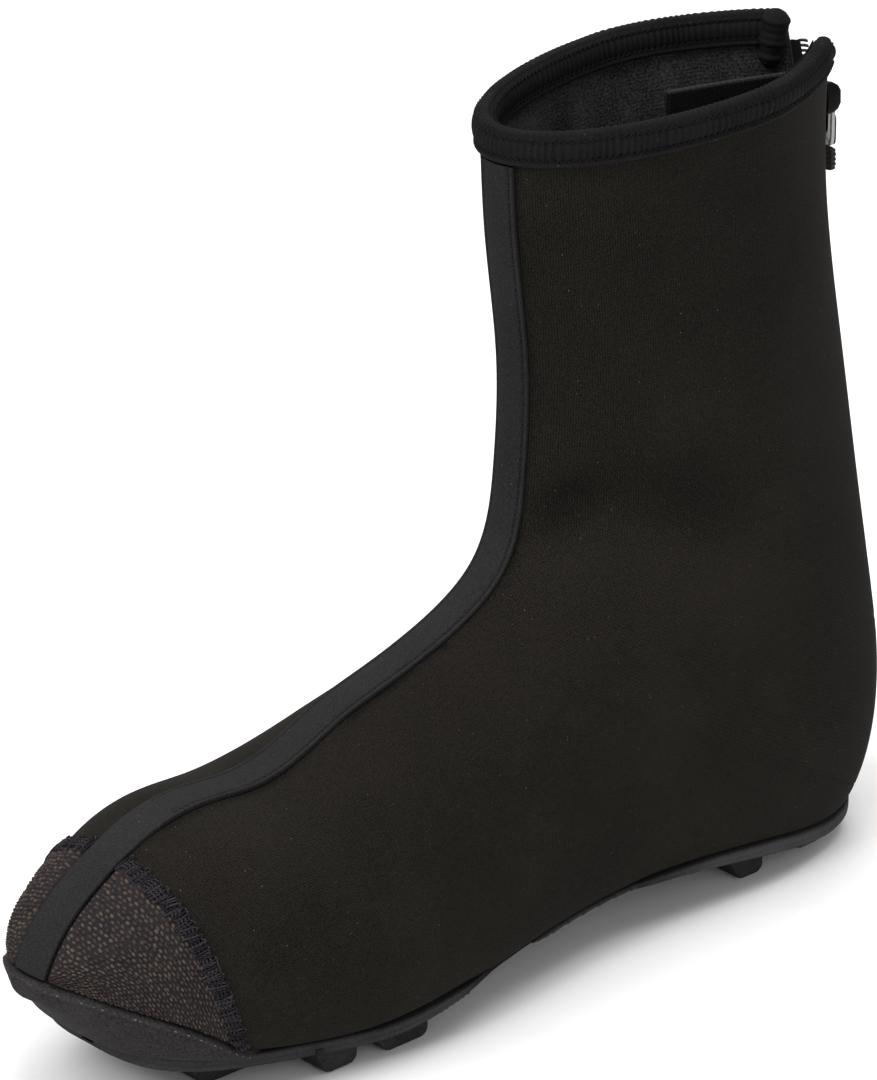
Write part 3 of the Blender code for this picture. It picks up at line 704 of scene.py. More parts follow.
SOLE_RUBBER = Finish(
    "sole_rubber", (0.0055, 0.0053, 0.0055), (0.047, 0.0455, 0.0465), 0.84, Weave.BASKET, (0.9, 0.5), 0.03, 0.2,
    grain=1300.0, grain_depth=0.10, grain_tint=0.8, blotch=90.0, blotch_tint=0.6, lint=0.18,
)
ARCH_ROLL = Finish(
    "arch_roll", (0.0014, 0.0014, 0.0015), (0.012, 0.012, 0.013), 0.5, grain=1200.0, grain_tint=0.3, coat=0.1,
)
BINDING_CLOTH = Finish(
    "binding_elastic", (0.0015, 0.0015, 0.0018), (0.0114, 0.0114, 0.0124), 0.84, Weave.TWILL, (0.6, 0.6), 0.05, 0.25,
    grain=2000.0, grain_depth=0.09, grain_tint=1.4, blotch=70.0, blotch_tint=0.5, lint=0.22,
)
BINDING_THREAD = Finish("binding_thread", (0.002, 0.002, 0.0025), (0.016, 0.016, 0.018), 0.8, grain_tint=0.4)
ZIP_CLOTH = Finish(
    "zip_tape_cloth", (0.003, 0.003, 0.0032), (0.018, 0.018, 0.019), 0.8, Weave.BASKET, (0.5, 0.5), 0.05, 0.3,
)
ZIP_COIL = Finish(
    "zip_coil", (0.004, 0.004, 0.004), (0.026, 0.026, 0.028), 0.42, grain_tint=0.2, coat=0.1, specular=0.3,
)
SLIDER_ENAMEL = Finish(
    "slider_enamel", (0.0015, 0.0015, 0.0015), (0.0048, 0.0048, 0.005), 0.6, grain_tint=0.3, specular=0.05,
)
PULL_METAL = Finish(
    "pull_metal", (0.14, 0.14, 0.145), (0.46, 0.46, 0.47), 0.42, grain_tint=0.4, metallic=0.85, specular=0.4,
)
GRIP_RUBBER = Finish(
    "grip_rubber", (0.004, 0.004, 0.004), (0.018, 0.018, 0.019), 0.55, grain_tint=0.4, specular=0.2,
)
FLAP_KNIT = Finish(
    "flap_knit", (0.0036, 0.0033, 0.0033), (0.15, 0.15, 0.155), 0.92, Weave.KNIT, (0.9, 0.9), 0.20, 0.035,
    grain=1700.0, grain_depth=0.08, grain_tint=0.08, blotch_tint=0.02, lint=0.16,
)


class MeshBuilder:
    """Gathers grids, threads and tubes in millimetres into one mesh with UV and tone."""

    def __init__(self) -> None:
        """Start with nothing."""
        self.points: list[Array] = []
        self.faces: list[Array] = []
        self.uv: list[Array] = []
        self.tone: list[Array] = []
        self.finish: list[Array] = []
        self.count = 0

    def add(self, points: Array, faces: Array, uv: Array, tone: object, finish: int) -> None:
        """Add points with their faces, counted from the first of them."""
        flat = points.reshape(-1, 3)
        self.points.append(flat)
        self.faces.append(faces.reshape(-1, 4) + self.count)
        self.uv.append(uv.reshape(-1, 2))
        self.tone.append(np.broadcast_to(np.asarray(tone, float), points.shape[:-1]).ravel())
        self.finish.append(np.full(faces.reshape(-1, 4).shape[0], finish, int))
        self.count += len(flat)

    def grid(self, points: Array, tone: object = 0.5, around: bool = False, finish: int = 0) -> None:
        """Add a sheet of quads.

        Args:
            points: Rows and columns of points.
            tone: Share of the light colour, for all or for each point.
            around: Join the last column to the first.
            finish: Index of the finish.
        """
        rows, columns = points.shape[:2]
        index = np.arange(rows * columns).reshape(rows, columns)
        if around:
            index = np.concatenate([index, index[:, :1]], axis=1)
        faces = np.stack([index[:-1, :-1], index[1:, :-1], index[1:, 1:], index[:-1, 1:]], axis=-1)
        across = arc_of(points, 1)
        across = across - across[:, [columns // 2]]
        uv = np.stack([across, arc_of(points, 0)], axis=-1)
        self.add(points, faces, uv, tone, finish)

    def threads(
        self, starts: Array, ends: Array, lifts: Array, radius: float,
        bow: float = 0.0, tone: object = 0.5, finish: int = 0, sides: int = 6,
    ) -> None:
        """Add short round threads with rounded ends.

        Args:
            starts: First ends.
            ends: Second ends.
            lifts: Unit vectors away from the surface.
            radius: Thread radius.
            bow: Rise of the middle along the lifts.
            tone: Tone for all or for each thread.
            finish: Index of the finish.
            sides: Faces round the thread.
        """
        run = np.array([0.0, 0.06, 0.22, 0.5, 0.78, 0.94, 1.0])
        girth = np.array([0.05, 0.72, 1.0, 1.0, 1.0, 0.72, 0.05]) * radius
        turn = np.linspace(0.0, 2.0 * np.pi, sides, endpoint=False)
        axis = unit(ends - starts)
        side = unit(np.cross(axis, lifts))
        top = np.cross(side, axis)
        centre = starts[:, None] + (ends - starts)[:, None] * run[None, :, None]
        centre = centre + lifts[:, None] * (4.0 * bow * run * (1.0 - run))[None, :, None]
        ring = top[:, None] * np.cos(turn)[None, :, None] + side[:, None] * np.sin(turn)[None, :, None]
        points = centre[:, :, None] + girth[None, :, None, None] * ring[:, None]
        count = len(starts)
        index = np.arange(points.size // 3).reshape(count, len(run), sides)
        index = np.concatenate([index, index[:, :, :1]], axis=2)
        faces = np.stack([index[:, :-1, :-1], index[:, :-1, 1:], index[:, 1:, 1:], index[:, 1:, :-1]], axis=-1)
        length = np.linalg.norm(ends - starts, axis=1)[:, None, None] * run[None, :, None]
        uv = np.stack(np.broadcast_arrays(turn[None, None, :] * radius, length), axis=-1)
        tone = np.asarray(tone, float)
        tone = tone if tone.ndim == 0 else tone[:, None, None]
        self.add(points, faces, uv, tone, finish)

    def tube(
        self, path: Array, lifts: Array, radius: Array,
        tone: object = 0.5, finish: int = 0, sides: int = 12,
    ) -> None:
        """Add a round tube along a path.

        Args:
            path: Middle line.
            lifts: Vectors away from the surface at each point.
            radius: Radius, for all or for each point.
            tone: Tone for all or for each point of the path.
            finish: Index of the finish.
            sides: Faces round the tube.
        """
        tangent = unit(np.gradient(path, axis=0))
        side = unit(np.cross(tangent, lifts))
        top = np.cross(side, tangent)
        turn = np.linspace(0.0, 2.0 * np.pi, sides, endpoint=False)
        girth = np.broadcast_to(np.asarray(radius, float), path.shape[:1])[:, None, None]
        ring = side[:, None] * np.cos(turn)[None, :, None] + top[:, None] * np.sin(turn)[None, :, None]
        tone = np.asarray(tone, float)
        self.grid(path[:, None] + ring * girth, tone if tone.ndim == 0 else tone[:, None], around=True, finish=finish)

    def prism(
        self, outline: Array, ways: tuple[Array, Array, Array, Array], start: float, end: float, tone: float,
    ) -> None:
        """Add an outline carried along a direction, closed by fans of quads at both ends.

        Args:
            outline: Corners in the first two directions.
            ways: First, second and third direction and the origin.
            start: Start along the third direction.
            end: End along it.
            tone: Tone of the prism.
        """
        first, second, third, origin = ways
        flat = origin + outline[:, :1] * first + outline[:, 1:] * second
        middle = np.broadcast_to(flat.mean(axis=0), flat.shape)
        rings = [middle + third * start, flat + third * start, flat + third * end, middle + third * end]
        self.grid(np.stack(rings), tone, around=True)

    def build(self, name: str, finishes: tuple[Finish, ...], weld: bool = False) -> bpy.types.Object:
        """Make the object.

        Args:
            name: Name of the piece.
            finishes: Finishes in the order of their indices.
            weld: Merge points that coincide.

        Returns:
            The object, linked to the scene.
        """
        mesh = bpy.data.meshes.new(name)
        mesh.from_pydata((np.concatenate(self.points) * MM).tolist(), [], np.concatenate(self.faces).tolist())
        corners = np.empty(len(mesh.loops), np.int32)
        mesh.loops.foreach_get("vertex_index", corners)
        layer = mesh.uv_layers.new(name="weave")
        layer.uv.foreach_set("vector", np.concatenate(self.uv)[corners].astype(np.float32).ravel())
        tone = mesh.attributes.new("tone", "FLOAT", "POINT")
        tone.data.foreach_set("value", np.concatenate(self.tone).astype(np.float32))
        for finish in finishes:
            mesh.materials.append(finish.material())
        mesh.polygons.foreach_set("material_index", np.concatenate(self.finish).astype(np.int32))
        if weld:
            work = bmesh.new()
            work.from_mesh(mesh)
            bmesh.ops.remove_doubles(work, verts=work.verts, dist=2e-6)
            work.to_mesh(mesh)
            work.free()
        mesh.shade_smooth()
        mesh.update()
        item = bpy.data.objects.new(name, mesh)
        bpy.context.scene.collection.objects.link(item)
        return item


def settle(item: bpy.types.Object, body: Body = Body.SHOE, stands_for: tuple[str, ...] = ()) -> None:
    """Put a piece on its body and the nodes that it stands for.

    Args:
        item: The piece.
        body: The body it rides on.
        stands_for: CAD nodes that it replaces.
    """
    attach(item, body.value)
    if stands_for:
        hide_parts(*stands_for)
    LOG.info("%s: %d faces, rides on %s", item.name, len(item.data.polygons), body.value)


def thicken(item: bpy.types.Object, thickness: float, outward: bool, inner_finish: int = 0) -> None:
    """Give a sheet its real thickness, in millimetres."""
    shell = item.modifiers.new("thickness", "SOLIDIFY")
    shell.thickness = thickness * MM
    shell.offset = 1.0 if outward else -1.0
    shell.material_offset = inner_finish


def soften(item: bpy.types.Object, width: float, segments: int = 3) -> None:
    """Round a piece's hard edges, in millimetres."""
    bevel = item.modifiers.new("rounding", "BEVEL")
    bevel.width = width * MM
    bevel.segments = segments
    bevel.limit_method = "ANGLE"
    bevel.harden_normals = False


def arch_share(along: Array) -> Array:
    """Share from 0 to 1 that lies in the arch, where the neoprene covers the sole's strip."""
    return smooth(0.35, 0.41, along) * (1.0 - smooth(0.56, 0.63, along))


@dataclass(frozen=True)
class Fold:
    """A soft trough (negative) or swell across the skin, in millimetres, between two places."""

    place_a: float
    angle_a: float
    place_b: float
    angle_b: float
    width: float
    depth: float

    def offset(self, last: Last, points: Array) -> Array:
        """How far the fold moves points out.

        Args:
            last: The form.
            points: Points of the skin.

        Returns:
            Offsets in millimetres.
        """
        share = np.linspace(0.0, 1.0, 25)
        places = self.place_a + (self.place_b - self.place_a) * share
        path = last.form(places, self.angle_a + (self.angle_b - self.angle_a) * share)
        gap = np.linalg.norm(points.reshape(-1, 1, 3) - path[None], axis=2)
        fade = np.sin(np.pi * (0.08 + 0.84 * share[gap.argmin(axis=1)]))
        found = self.depth * np.exp(-((gap.min(axis=1) / self.width) ** 2)) * fade
        return found.reshape(points.shape[:-1])


FOLDS = (
    Fold(0.335, 0.28, 0.285, 0.80, 7.0, -2.5),
    Fold(0.285, 0.80, 0.292, 1.45, 9.0, -1.2),
    Fold(0.345, 0.85, 0.350, 1.45, 13.0, 1.3),
    Fold(0.375, 0.30, 0.355, 0.85, 9.0, 0.8),
    Fold(0.335, -0.25, 0.290, -1.10, 8.0, -1.0),
    Fold(0.300, 1.90, 0.345, 2.60, 9.0, -0.6),
    Fold(0.300, -1.90, 0.345, -2.60, 9.0, -0.6),
    Fold(0.140, 0.50, 0.120, 2.20, 16.0, -0.5),
    Fold(0.205, 0.60, 0.215, 2.30, 15.0, 0.5),
    Fold(-0.010, -1.335, 0.120, -1.320, 1.9, -2.0),
)


@dataclass
class Upper:
    """Neoprene sock with a slit back and an open underside, lined inside."""

    last: Last
    shaft_rows: int = 110
    back_rows: int = 36
    foot_rows: int = 120
    nose_rows: int = 22
    columns: int = 110
    edge_pack: float = 0.25
    tuck_width: float = 4.0
    tuck_depth: float = 0.7
    arch_ease: float = 0.8
    seam_at: float = 6.7
    seam_width: float = 0.6
    seam_depth: float = 0.3
    # Places over which the shaft's painted shade fades out.
    shaft_shade_fade: tuple[float, float] = (0.20, 0.36)
    # Painted shade in the creases' troughs and painted light on their swells, per millimetre of relief, clipped to a
    # range.
    crease_painted_shade: float = 0.15
    crease_shade_clip: tuple[float, float] = (-2.0, 1.0)

    def places(self) -> Array:
        """Places of the rings, collar to nose."""
        last = self.last
        even = np.linspace(0.0, 1.0, self.foot_rows)
        return np.concatenate([
            np.linspace(0.0, last.zip_end, self.shaft_rows),
            np.linspace(last.zip_stop, last.heel_end, self.back_rows),
            (last.heel_end + (last.toe_end - last.heel_end) * eased(even))[1:],
            np.linspace(last.toe_end, 1.0, self.nose_rows)[1:],
        ])

    def build(self) -> None:
        """Make the shell, its folds and its lining."""
        last = self.last
        places = self.places()
        slit = places[: self.shaft_rows]
        reach = last.feather_angle(places)
        reach[: self.shaft_rows] = np.pi - last.angle_at(slit, last.slit_half(slit), np.pi)
        across = np.linspace(-1.0, 1.0, self.columns + 1)
        across = across * (1.0 + self.edge_pack * (1.0 - across**2))
        angles = across[None, :] * reach[:, None]
        plain = last.form(places[:, None], angles)
        arc = arc_of(plain, 1)
        from_edge = np.minimum(arc, arc[:, -1:] - arc)
        from_ridge = np.abs(arc - arc[:, [self.columns // 2]])
        open_rows = ((reach < np.pi - 1e-6) & (places > last.heel_end))[:, None]
        tuck = open_rows * (1.0 - smooth(0.0, self.tuck_width, from_edge))
        tuck = tuck * (1.0 - self.arch_ease * arch_share(last.along_of(plain)))
        seam = hump(from_ridge, self.seam_at, self.seam_width)
        creases = sum(fold.offset(last, plain) for fold in FOLDS)
        relief = creases - self.tuck_depth * tuck - self.seam_depth * seam
        points = last.droop(last.skin(places[:, None], angles, relief))
        # Painted shade: the whole shaft is darker, standing in for its weaker light, and so are the tucked lower edge
        # and the seam's groove beside the tape.
        shaft = 1.0 - smooth(*self.shaft_shade_fade, places)[:, None]
        tone = 0.5 - 0.35 * tuck - 0.25 * seam - 0.10 * shaft
        # Painted shade in the creases' troughs and painted light on their swells.
        tone = tone + self.crease_painted_shade * np.clip(creases, *self.crease_shade_clip)
        points = np.concatenate([points, np.broadcast_to(points[-1].mean(axis=0), points[-1:].shape)])
        tone = np.concatenate([tone, tone[-1:]])
        build = MeshBuilder()
        build.grid(points, tone)
        item = build.build("upper_shell", (NEOPRENE, LINING), weld=True)
        thicken(item, last.wall, outward=False, inner_finish=1)
        settle(item, stands_for=("upper",))


@dataclass
class FrontTape:
    """Covering tape over the front seam, piped along both edges."""

    last: Last
    half: float = 6.0
    thick: float = 1.0
    start_depth: float = 8.6
    ridge_at: float = 0.90
    groove_at: float = 0.76
    stitch_pitch: float = 1.9
    plain_from: float = 0.80
    plain_to: float = 0.87
    toe_from: float = 0.897
    end_gap: float = 0.0012
    stitch_slant: float = 1.3
    stitch_radius: float = 0.17
    stitch_bow: float = 0.10
    rows: int = 300
    columns: int = 41

    def end(self, reach: float) -> float:
        """Place where the bumper's edge crosses a line beside the ridge."""
        last = self.last
        if reach <= 0.0:
            return last.bumper_tip
        start = last.place_of("toe_front")
        return float(last.bisect(lambda s: last.bumper_angle(s) - last.angle_at(s, reach), start, last.bumper_tip))

    def piping(self, places: Array) -> Array:
        """Share of the piped edge, which fades on the toe."""
        return 1.0 - smooth(self.plain_from, self.plain_to, places)

    def height(self, share: Array, places: Array) -> Array:
        """Height of the tape over the skin.

        Args:
            share: Share of the half width, from 0 at the middle to 1.
            places: Places along the tape.

        Returns:
            Heights in millimetres.
        """
        edge = np.sqrt(smooth(0.0, 0.07, 1.0 - share))
        piping = self.piping(places)
        body = self.last.gap + self.thick * (0.86 + 0.14 * (1.0 - share**2))
        relief = 0.26 * hump(share, self.ridge_at, 0.06) - 0.22 * hump(share, self.groove_at, 0.05)
        return 0.05 + (body - 0.05 + relief * piping) * edge

    def build(self) -> None:
        """Make the tape and the hatch of stitches along both edges."""
        last = self.last
        first = float(last.places_at([self.start_depth], [0.0])[0])
        stop = last.bumper_tip - self.end_gap
        places = np.interp(np.linspace(0.0, 1.0, self.rows), [0.0, 0.85, 1.0], [first, self.toe_from, stop])
        share = np.sin(0.5 * np.pi * np.linspace(-1.0, 1.0, self.columns))
        reach = share * self.half
        stops = np.array([self.end(abs(r)) for r in reach]) - self.end_gap
        toe = np.clip((places - self.toe_from) / (stop - self.toe_from), 0.0, 1.0)
        grid = places[:, None] + toe[:, None] * (stops - stop)[None, :]
        turn = np.stack([last.angle_at(grid[:, j], abs(r)) * np.sign(r) for j, r in enumerate(reach)], axis=1)
        size = np.abs(share)[None, :]
        out = self.height(size, grid)
        # Painted light and shade: lighter along the foot than on the shaft, standing in for the shaft's weaker light,
        # and darker at both edges as painted shade in the gaps beside the neoprene.
        tone = 0.50 + 0.12 * smooth(0.25, 0.55, grid) - 0.45 * smooth(0.94, 1.0, size)
        # Painted shade in the stitched groove and a painted highlight on the piped ridge, fading with the piping on
        # the toe.
        groove_shade_ridge_highlight = 0.35 * hump(size, self.groove_at, 0.045) - 0.10 * hump(size, self.ridge_at, 0.05)
        tone = tone - groove_shade_ridge_highlight * self.piping(grid)
        build = MeshBuilder()
        build.grid(last.skin(grid, turn, out), tone)
        along = last.places_by_arc(0.0, first + 0.01, self.plain_to - 0.02, self.stitch_pitch)
        for side in (-1.0, 1.0):
            inner, outer = self.half * (self.groove_at - 0.11), self.half * (self.groove_at + 0.10)
            low = along + self.stitch_slant * last.per_mm(along, 0.0)
            start_turn = side * last.angle_at(low, inner)
            end_turn = side * last.angle_at(along, outer)
            lift = last.normal(along, end_turn)
            base = self.height(np.full(along.shape, self.groove_at), along)
            starts = last.skin(low, start_turn, base + 0.05)
            ends = last.skin(along, end_turn, base + 0.02)
            build.threads(starts, ends, lift, self.stitch_radius, self.stitch_bow, tone=0.60)
        item = build.build("front_seam_tape", (TAPE_CLOTH,))
        settle(item, stands_for=("front_tape",))


@dataclass
class ToePatch:
    """Nubby abrasion patch on one side of the toe, overcast along its trailing edge."""

    last: Last
    tape: FrontTape
    node: str
    side: float
    top: float = 0.897
    low: float = 0.872
    base: float = 0.85
    nub_height: float = 0.70
    nub_down: float = 1.95
    nub_ahead: float = 1.30
    stitch_pitch: float = 0.8
    band: float = 4.2
    down_steps: int = 211
    ahead_steps: int = 251
    seed: int = 11

    def spread(self, down: Array, ahead: Array) -> tuple[Array, Array]:
        """Places and angles of the patch.

        Args:
            down: Shares from the tape to the bumper.
            ahead: Shares from the trailing edge to the tip.

        Returns:
            Places and angles, ahead by down.
        """
        last = self.last
        edge = self.tape.half + last.gap
        tip = self.tape.end(edge + last.gap) - self.tape.end_gap
        trail = self.top + (self.low - self.top) * down**2
        places = trail[None, :] * (1.0 - ahead[:, None]) + tip * ahead[:, None]
        near = last.angle_at(places, edge, samples=40)
        far = last.bumper_angle(places + self.tape.end_gap)
        return places, near + (far - near) * down[None, :]

    def nubs(self, down: Array, ahead: Array) -> tuple[Array, Array]:
        """Height share and tone of the nubs over lengths in millimetres.

        Args:
            down: Lengths from the tape.
            ahead: Lengths from the trailing edge.

        Returns:
            Heights and tones between 0 and 1; the tones hold painted shade between the nubs.
        """
        chance = np.random.default_rng(self.seed).random((5, 64, 64))
        column = np.floor(ahead / self.nub_ahead).astype(int)
        shifted = down + self.nub_down * (0.5 * (column % 2) + 0.35 * chance[4, 0, column % 64])
        row = np.floor(shifted / self.nub_down).astype(int)
        pick = chance[:4, row % 64, column % 64]
        x = (shifted / self.nub_down - row - 0.5 + 0.45 * (pick[0] - 0.5)) * 2.0
        y = (ahead / self.nub_ahead - column - 0.5 + 0.45 * (pick[1] - 0.5)) * 2.0
        y = y + 0.5 * x * (pick[2] - 0.5)
        nub = np.clip(1.0 - np.abs(x / 0.76) ** 2.4 - np.abs(y / (0.60 + 0.25 * pick[0])) ** 2.2, 0.0, 1.0) ** 0.6
        # Tone follows each nub's height: lighter nub tops over dark gaps, partly the cloth's own two colours and
        # partly painted shade between the nubs.
        return nub * (0.6 + 0.4 * pick[2]), nub * (0.25 + 0.75 * pick[3] ** 1.5)

    def build(self) -> None:
        """Make the nubby cloth and its overcast edge."""
        last = self.last
        down = np.linspace(0.0, 1.0, self.down_steps)
        ahead = np.linspace(0.0, 1.0, self.ahead_steps)
        places, angles = self.spread(down, ahead)
        plain = last.form(places, self.side * angles)
        long_down, long_ahead = arc_of(plain, 1), arc_of(plain, 0)
        height, tone = self.nubs(long_down, long_ahead)
        rim = np.minimum(np.minimum(long_down, long_down[:, -1:] - long_down), long_ahead[-1:] - long_ahead)
        rim = smooth(0.0, 1.1, np.minimum(rim, long_ahead))
        ragged = 0.8 * np.sin(1.9 * long_down) * np.sin(0.7 * long_down)
        clear = smooth(0.45 * self.band, self.band, long_ahead + ragged)
        # Nubs lower and darker in the band by the trailing edge; the darkening is painted shade in the pressed band.
        height, tone = height * (0.25 + 0.75 * clear), tone * (0.2 + 0.8 * clear)
        out = 0.1 + rim * (self.base - 0.1 + self.nub_height * height)
        points = last.skin(places, self.side * angles, out)
        order = slice(None) if self.side > 0.0 else slice(None, None, -1)
        build = MeshBuilder()
        # Darkest along the patch's edges: painted shade where it meets the tape, the bumper and the upper.
        build.grid(points[:, order], (0.06 + 0.94 * tone * rim)[:, order])
        self.overcast(build, places[0], angles[0])
        item = build.build(self.node + "_cloth", (NUB_CLOTH, OVERCAST))
        settle(item, stands_for=(self.node,))

    def overcast(self, build: MeshBuilder, places: Array, angles: Array) -> None:
        """Loops of thread across the trailing edge, between two chains.

        Args:
            build: Mesh to add to.
            places: Places along the edge.
            angles: Angles along the edge.
        """
        last = self.last
        arc = arc_of(last.form(places, angles), 0)
        step = np.arange(0.4, arc[-1] - 0.4, self.stitch_pitch)
        place, angle = np.interp(step, arc, places), self.side * np.interp(step, arc, angles)
        scale = last.per_mm(place, angle)
        lift = last.normal(place, angle)
        chance = np.random.default_rng(self.seed + 1).random((6, len(place)))
        back = place - (0.8 + 1.5 * chance[0]) * scale
        front = place + (2.2 + 2.3 * chance[1]) * scale
        slant = np.roll(angle, 1) * 0.5 + np.roll(angle, -1) * 0.5 + (chance[2] - 0.5) * 3.0 * np.gradient(angle)
        slant[[0, -1]] = angle[[0, -1]]
        starts = last.skin(back, angle, 0.25 + 0.5 * chance[3])
        ends = last.skin(front, slant, 1.05 + 0.4 * chance[4])
        build.threads(starts, ends, lift, 0.27, 0.35, tone=0.15 + 0.75 * chance[5], finish=1)
        loop = last.skin(back, angle, 0.5 + 0.5 * chance[4])
        build.threads(loop[:-1], loop[1:], lift[:-1], 0.26, 0.25, tone=0.1 + 0.6 * chance[2, 1:], finish=1)
        for shift, out in ((-0.2, 0.9), (0.9, 1.2), (1.9, 1.25)):
            chain = last.skin(place + (shift + 0.9 * (chance[3] - 0.5)) * scale, angle, out + 0.3 * chance[5])
            build.threads(chain[:-1], chain[1:], lift[:-1], 0.34, 0.1, tone=0.1 + 0.55 * chance[1, 1:], finish=1)


@dataclass
class ToeBumper:
    """Napped rubber rand round the nose, with a stitched welt along its top edge."""

    last: Last
    thick: float = 1.3
    gap: float = 1.4
    end: float = 0.858
    welt: float = 0.12
    lump: float = 0.4
    stitch_depth: float = 0.9
    stitch_pitch: float = 2.4
    stitch_length: float = 0.7
    stitch_from: float = 6.0
    turns: int = 281
    rows: int = 44

    def room(self, place: Array, angle: Array) -> Array:
        """Height of the outer face above the sole plate."""
        last = self.last
        points = last.skin(place, angle, np.full(np.shape(angle), self.gap + self.thick))
        return points[..., 2] - last.feather_height(last.along_of(points)) - last.gap

    def spread(self) -> tuple[Array, Array, Array]:
        """Places and angles of the rand between its top edge and the sole.

        Returns:
            Places, angles, and the share from the top edge down.
        """
        last = self.last
        turn = np.linspace(-1.0, 1.0, self.turns)
        low_tip = float(last.bisect(lambda s: self.room(s, np.full(np.shape(s), np.pi)), last.toe_end, 1.0))
        top_place = last.bumper_tip - (last.bumper_tip - self.end) * turn**2
        low_place = low_tip - (low_tip - self.end) * turn**2
        top_angle = last.bumper_angle(top_place)
        start = np.full(turn.shape, 0.4 * np.pi)
        low_angle = last.bisect(lambda psi: self.room(low_place, psi), start, np.full(turn.shape, np.pi))
        low_angle = np.where(low_place >= low_tip, np.pi, np.maximum(low_angle, top_angle + 0.02))
        side = np.where(turn < 0.0, -1.0, 1.0)
        share = np.linspace(0.0, 1.0, self.rows)[:, None]
        share = share + np.zeros_like(turn)[None, :]
        flat = []
        for place, angle in ((top_place, side * top_angle), (low_place, side * low_angle)):
            flat.append(np.stack([np.cos(angle), np.sin(angle)]) * (1.0 - place))
        disc_x, disc_y = (flat[0][k] * (1.0 - share) + flat[1][k] * share for k in (0, 1))
        return 1.0 - np.hypot(disc_x, disc_y), np.arctan2(disc_y, disc_x), share

    def build(self) -> None:
        """Make the rand and its pale stitches."""
        last = self.last
        places, angles, share = self.spread()
        plain = last.form(places, angles)
        depth = arc_of(plain, 0)
        to_low = depth[-1:] - depth
        turn = np.linspace(-1.0, 1.0, self.turns)[None, :]
        close = np.minimum(np.minimum(depth, to_low), 18.0 * (1.0 - np.abs(turn)))
        edge = np.sqrt(smooth(0.0, 1.3, close))
        welt = hump(depth, 1.1, 0.7) * smooth(0.0, 0.15, 1.0 - np.abs(turn))
        groove = hump(depth, 2.3, 0.5) * smooth(0.0, 0.15, 1.0 - np.abs(turn))
        out = 0.1 + edge * (self.gap + self.thick - 0.1) + self.welt * welt - 0.08 * groove
        out = out + self.lump * np.sin(9.0 * turn + 0.8) * smooth(0.15, 0.6, share) * (1.0 - smooth(0.7, 1.0, share))
        # Painted highlight on the welt, and painted shade in the groove below it and along the rand's edges against
        # the upper and the sole.
        tone = 0.55 + 0.1 * welt - 0.1 * groove - 0.3 * (1.0 - edge)
        build = MeshBuilder()
        points = last.skin(places, angles, out)
        build.grid(points, tone)
        self.stitches(build, places, angles, depth)
        item = build.build("toe_rand", (BUMPER_RUBBER, PALE_THREAD))
        settle(item, stands_for=("toe_bumper",))

    def stitches(self, build: MeshBuilder, places: Array, angles: Array, depth: Array) -> None:
        """Pale thread specks in the groove under the welt.

        Args:
            build: Mesh to add to.
            places: Places of the rand.
            angles: Angles of the rand.
            depth: Length below the top edge at each point.
        """
        last = self.last
        pick = np.arange(self.turns)
        row = np.array([np.searchsorted(depth[:, j], self.stitch_depth) for j in pick])
        row = np.clip(row, 0, self.rows - 1)
        line = last.skin(places[row, pick], angles[row, pick], np.full(self.turns, self.gap + self.thick - 0.1))
        lift = last.normal(places[row, pick], angles[row, pick])
        arc = arc_of(line, 0)
        steps = np.random.default_rng(7).random(int(arc[-1] / self.stitch_pitch)) + 0.5
        at = np.cumsum(steps) * self.stitch_pitch
        at = at[(at > self.stitch_from) & (at < arc[-1] - self.stitch_from)]
        starts = along_line(at, arc, line)
        ends = along_line(at + self.stitch_length, arc, line)
        lifts = unit(along_line(at, arc, lift))
        chance = np.random.default_rng(5).random(len(at))
        build.threads(starts, ends, lifts, 0.16, 0.02, tone=0.8 * chance**2, finish=1)


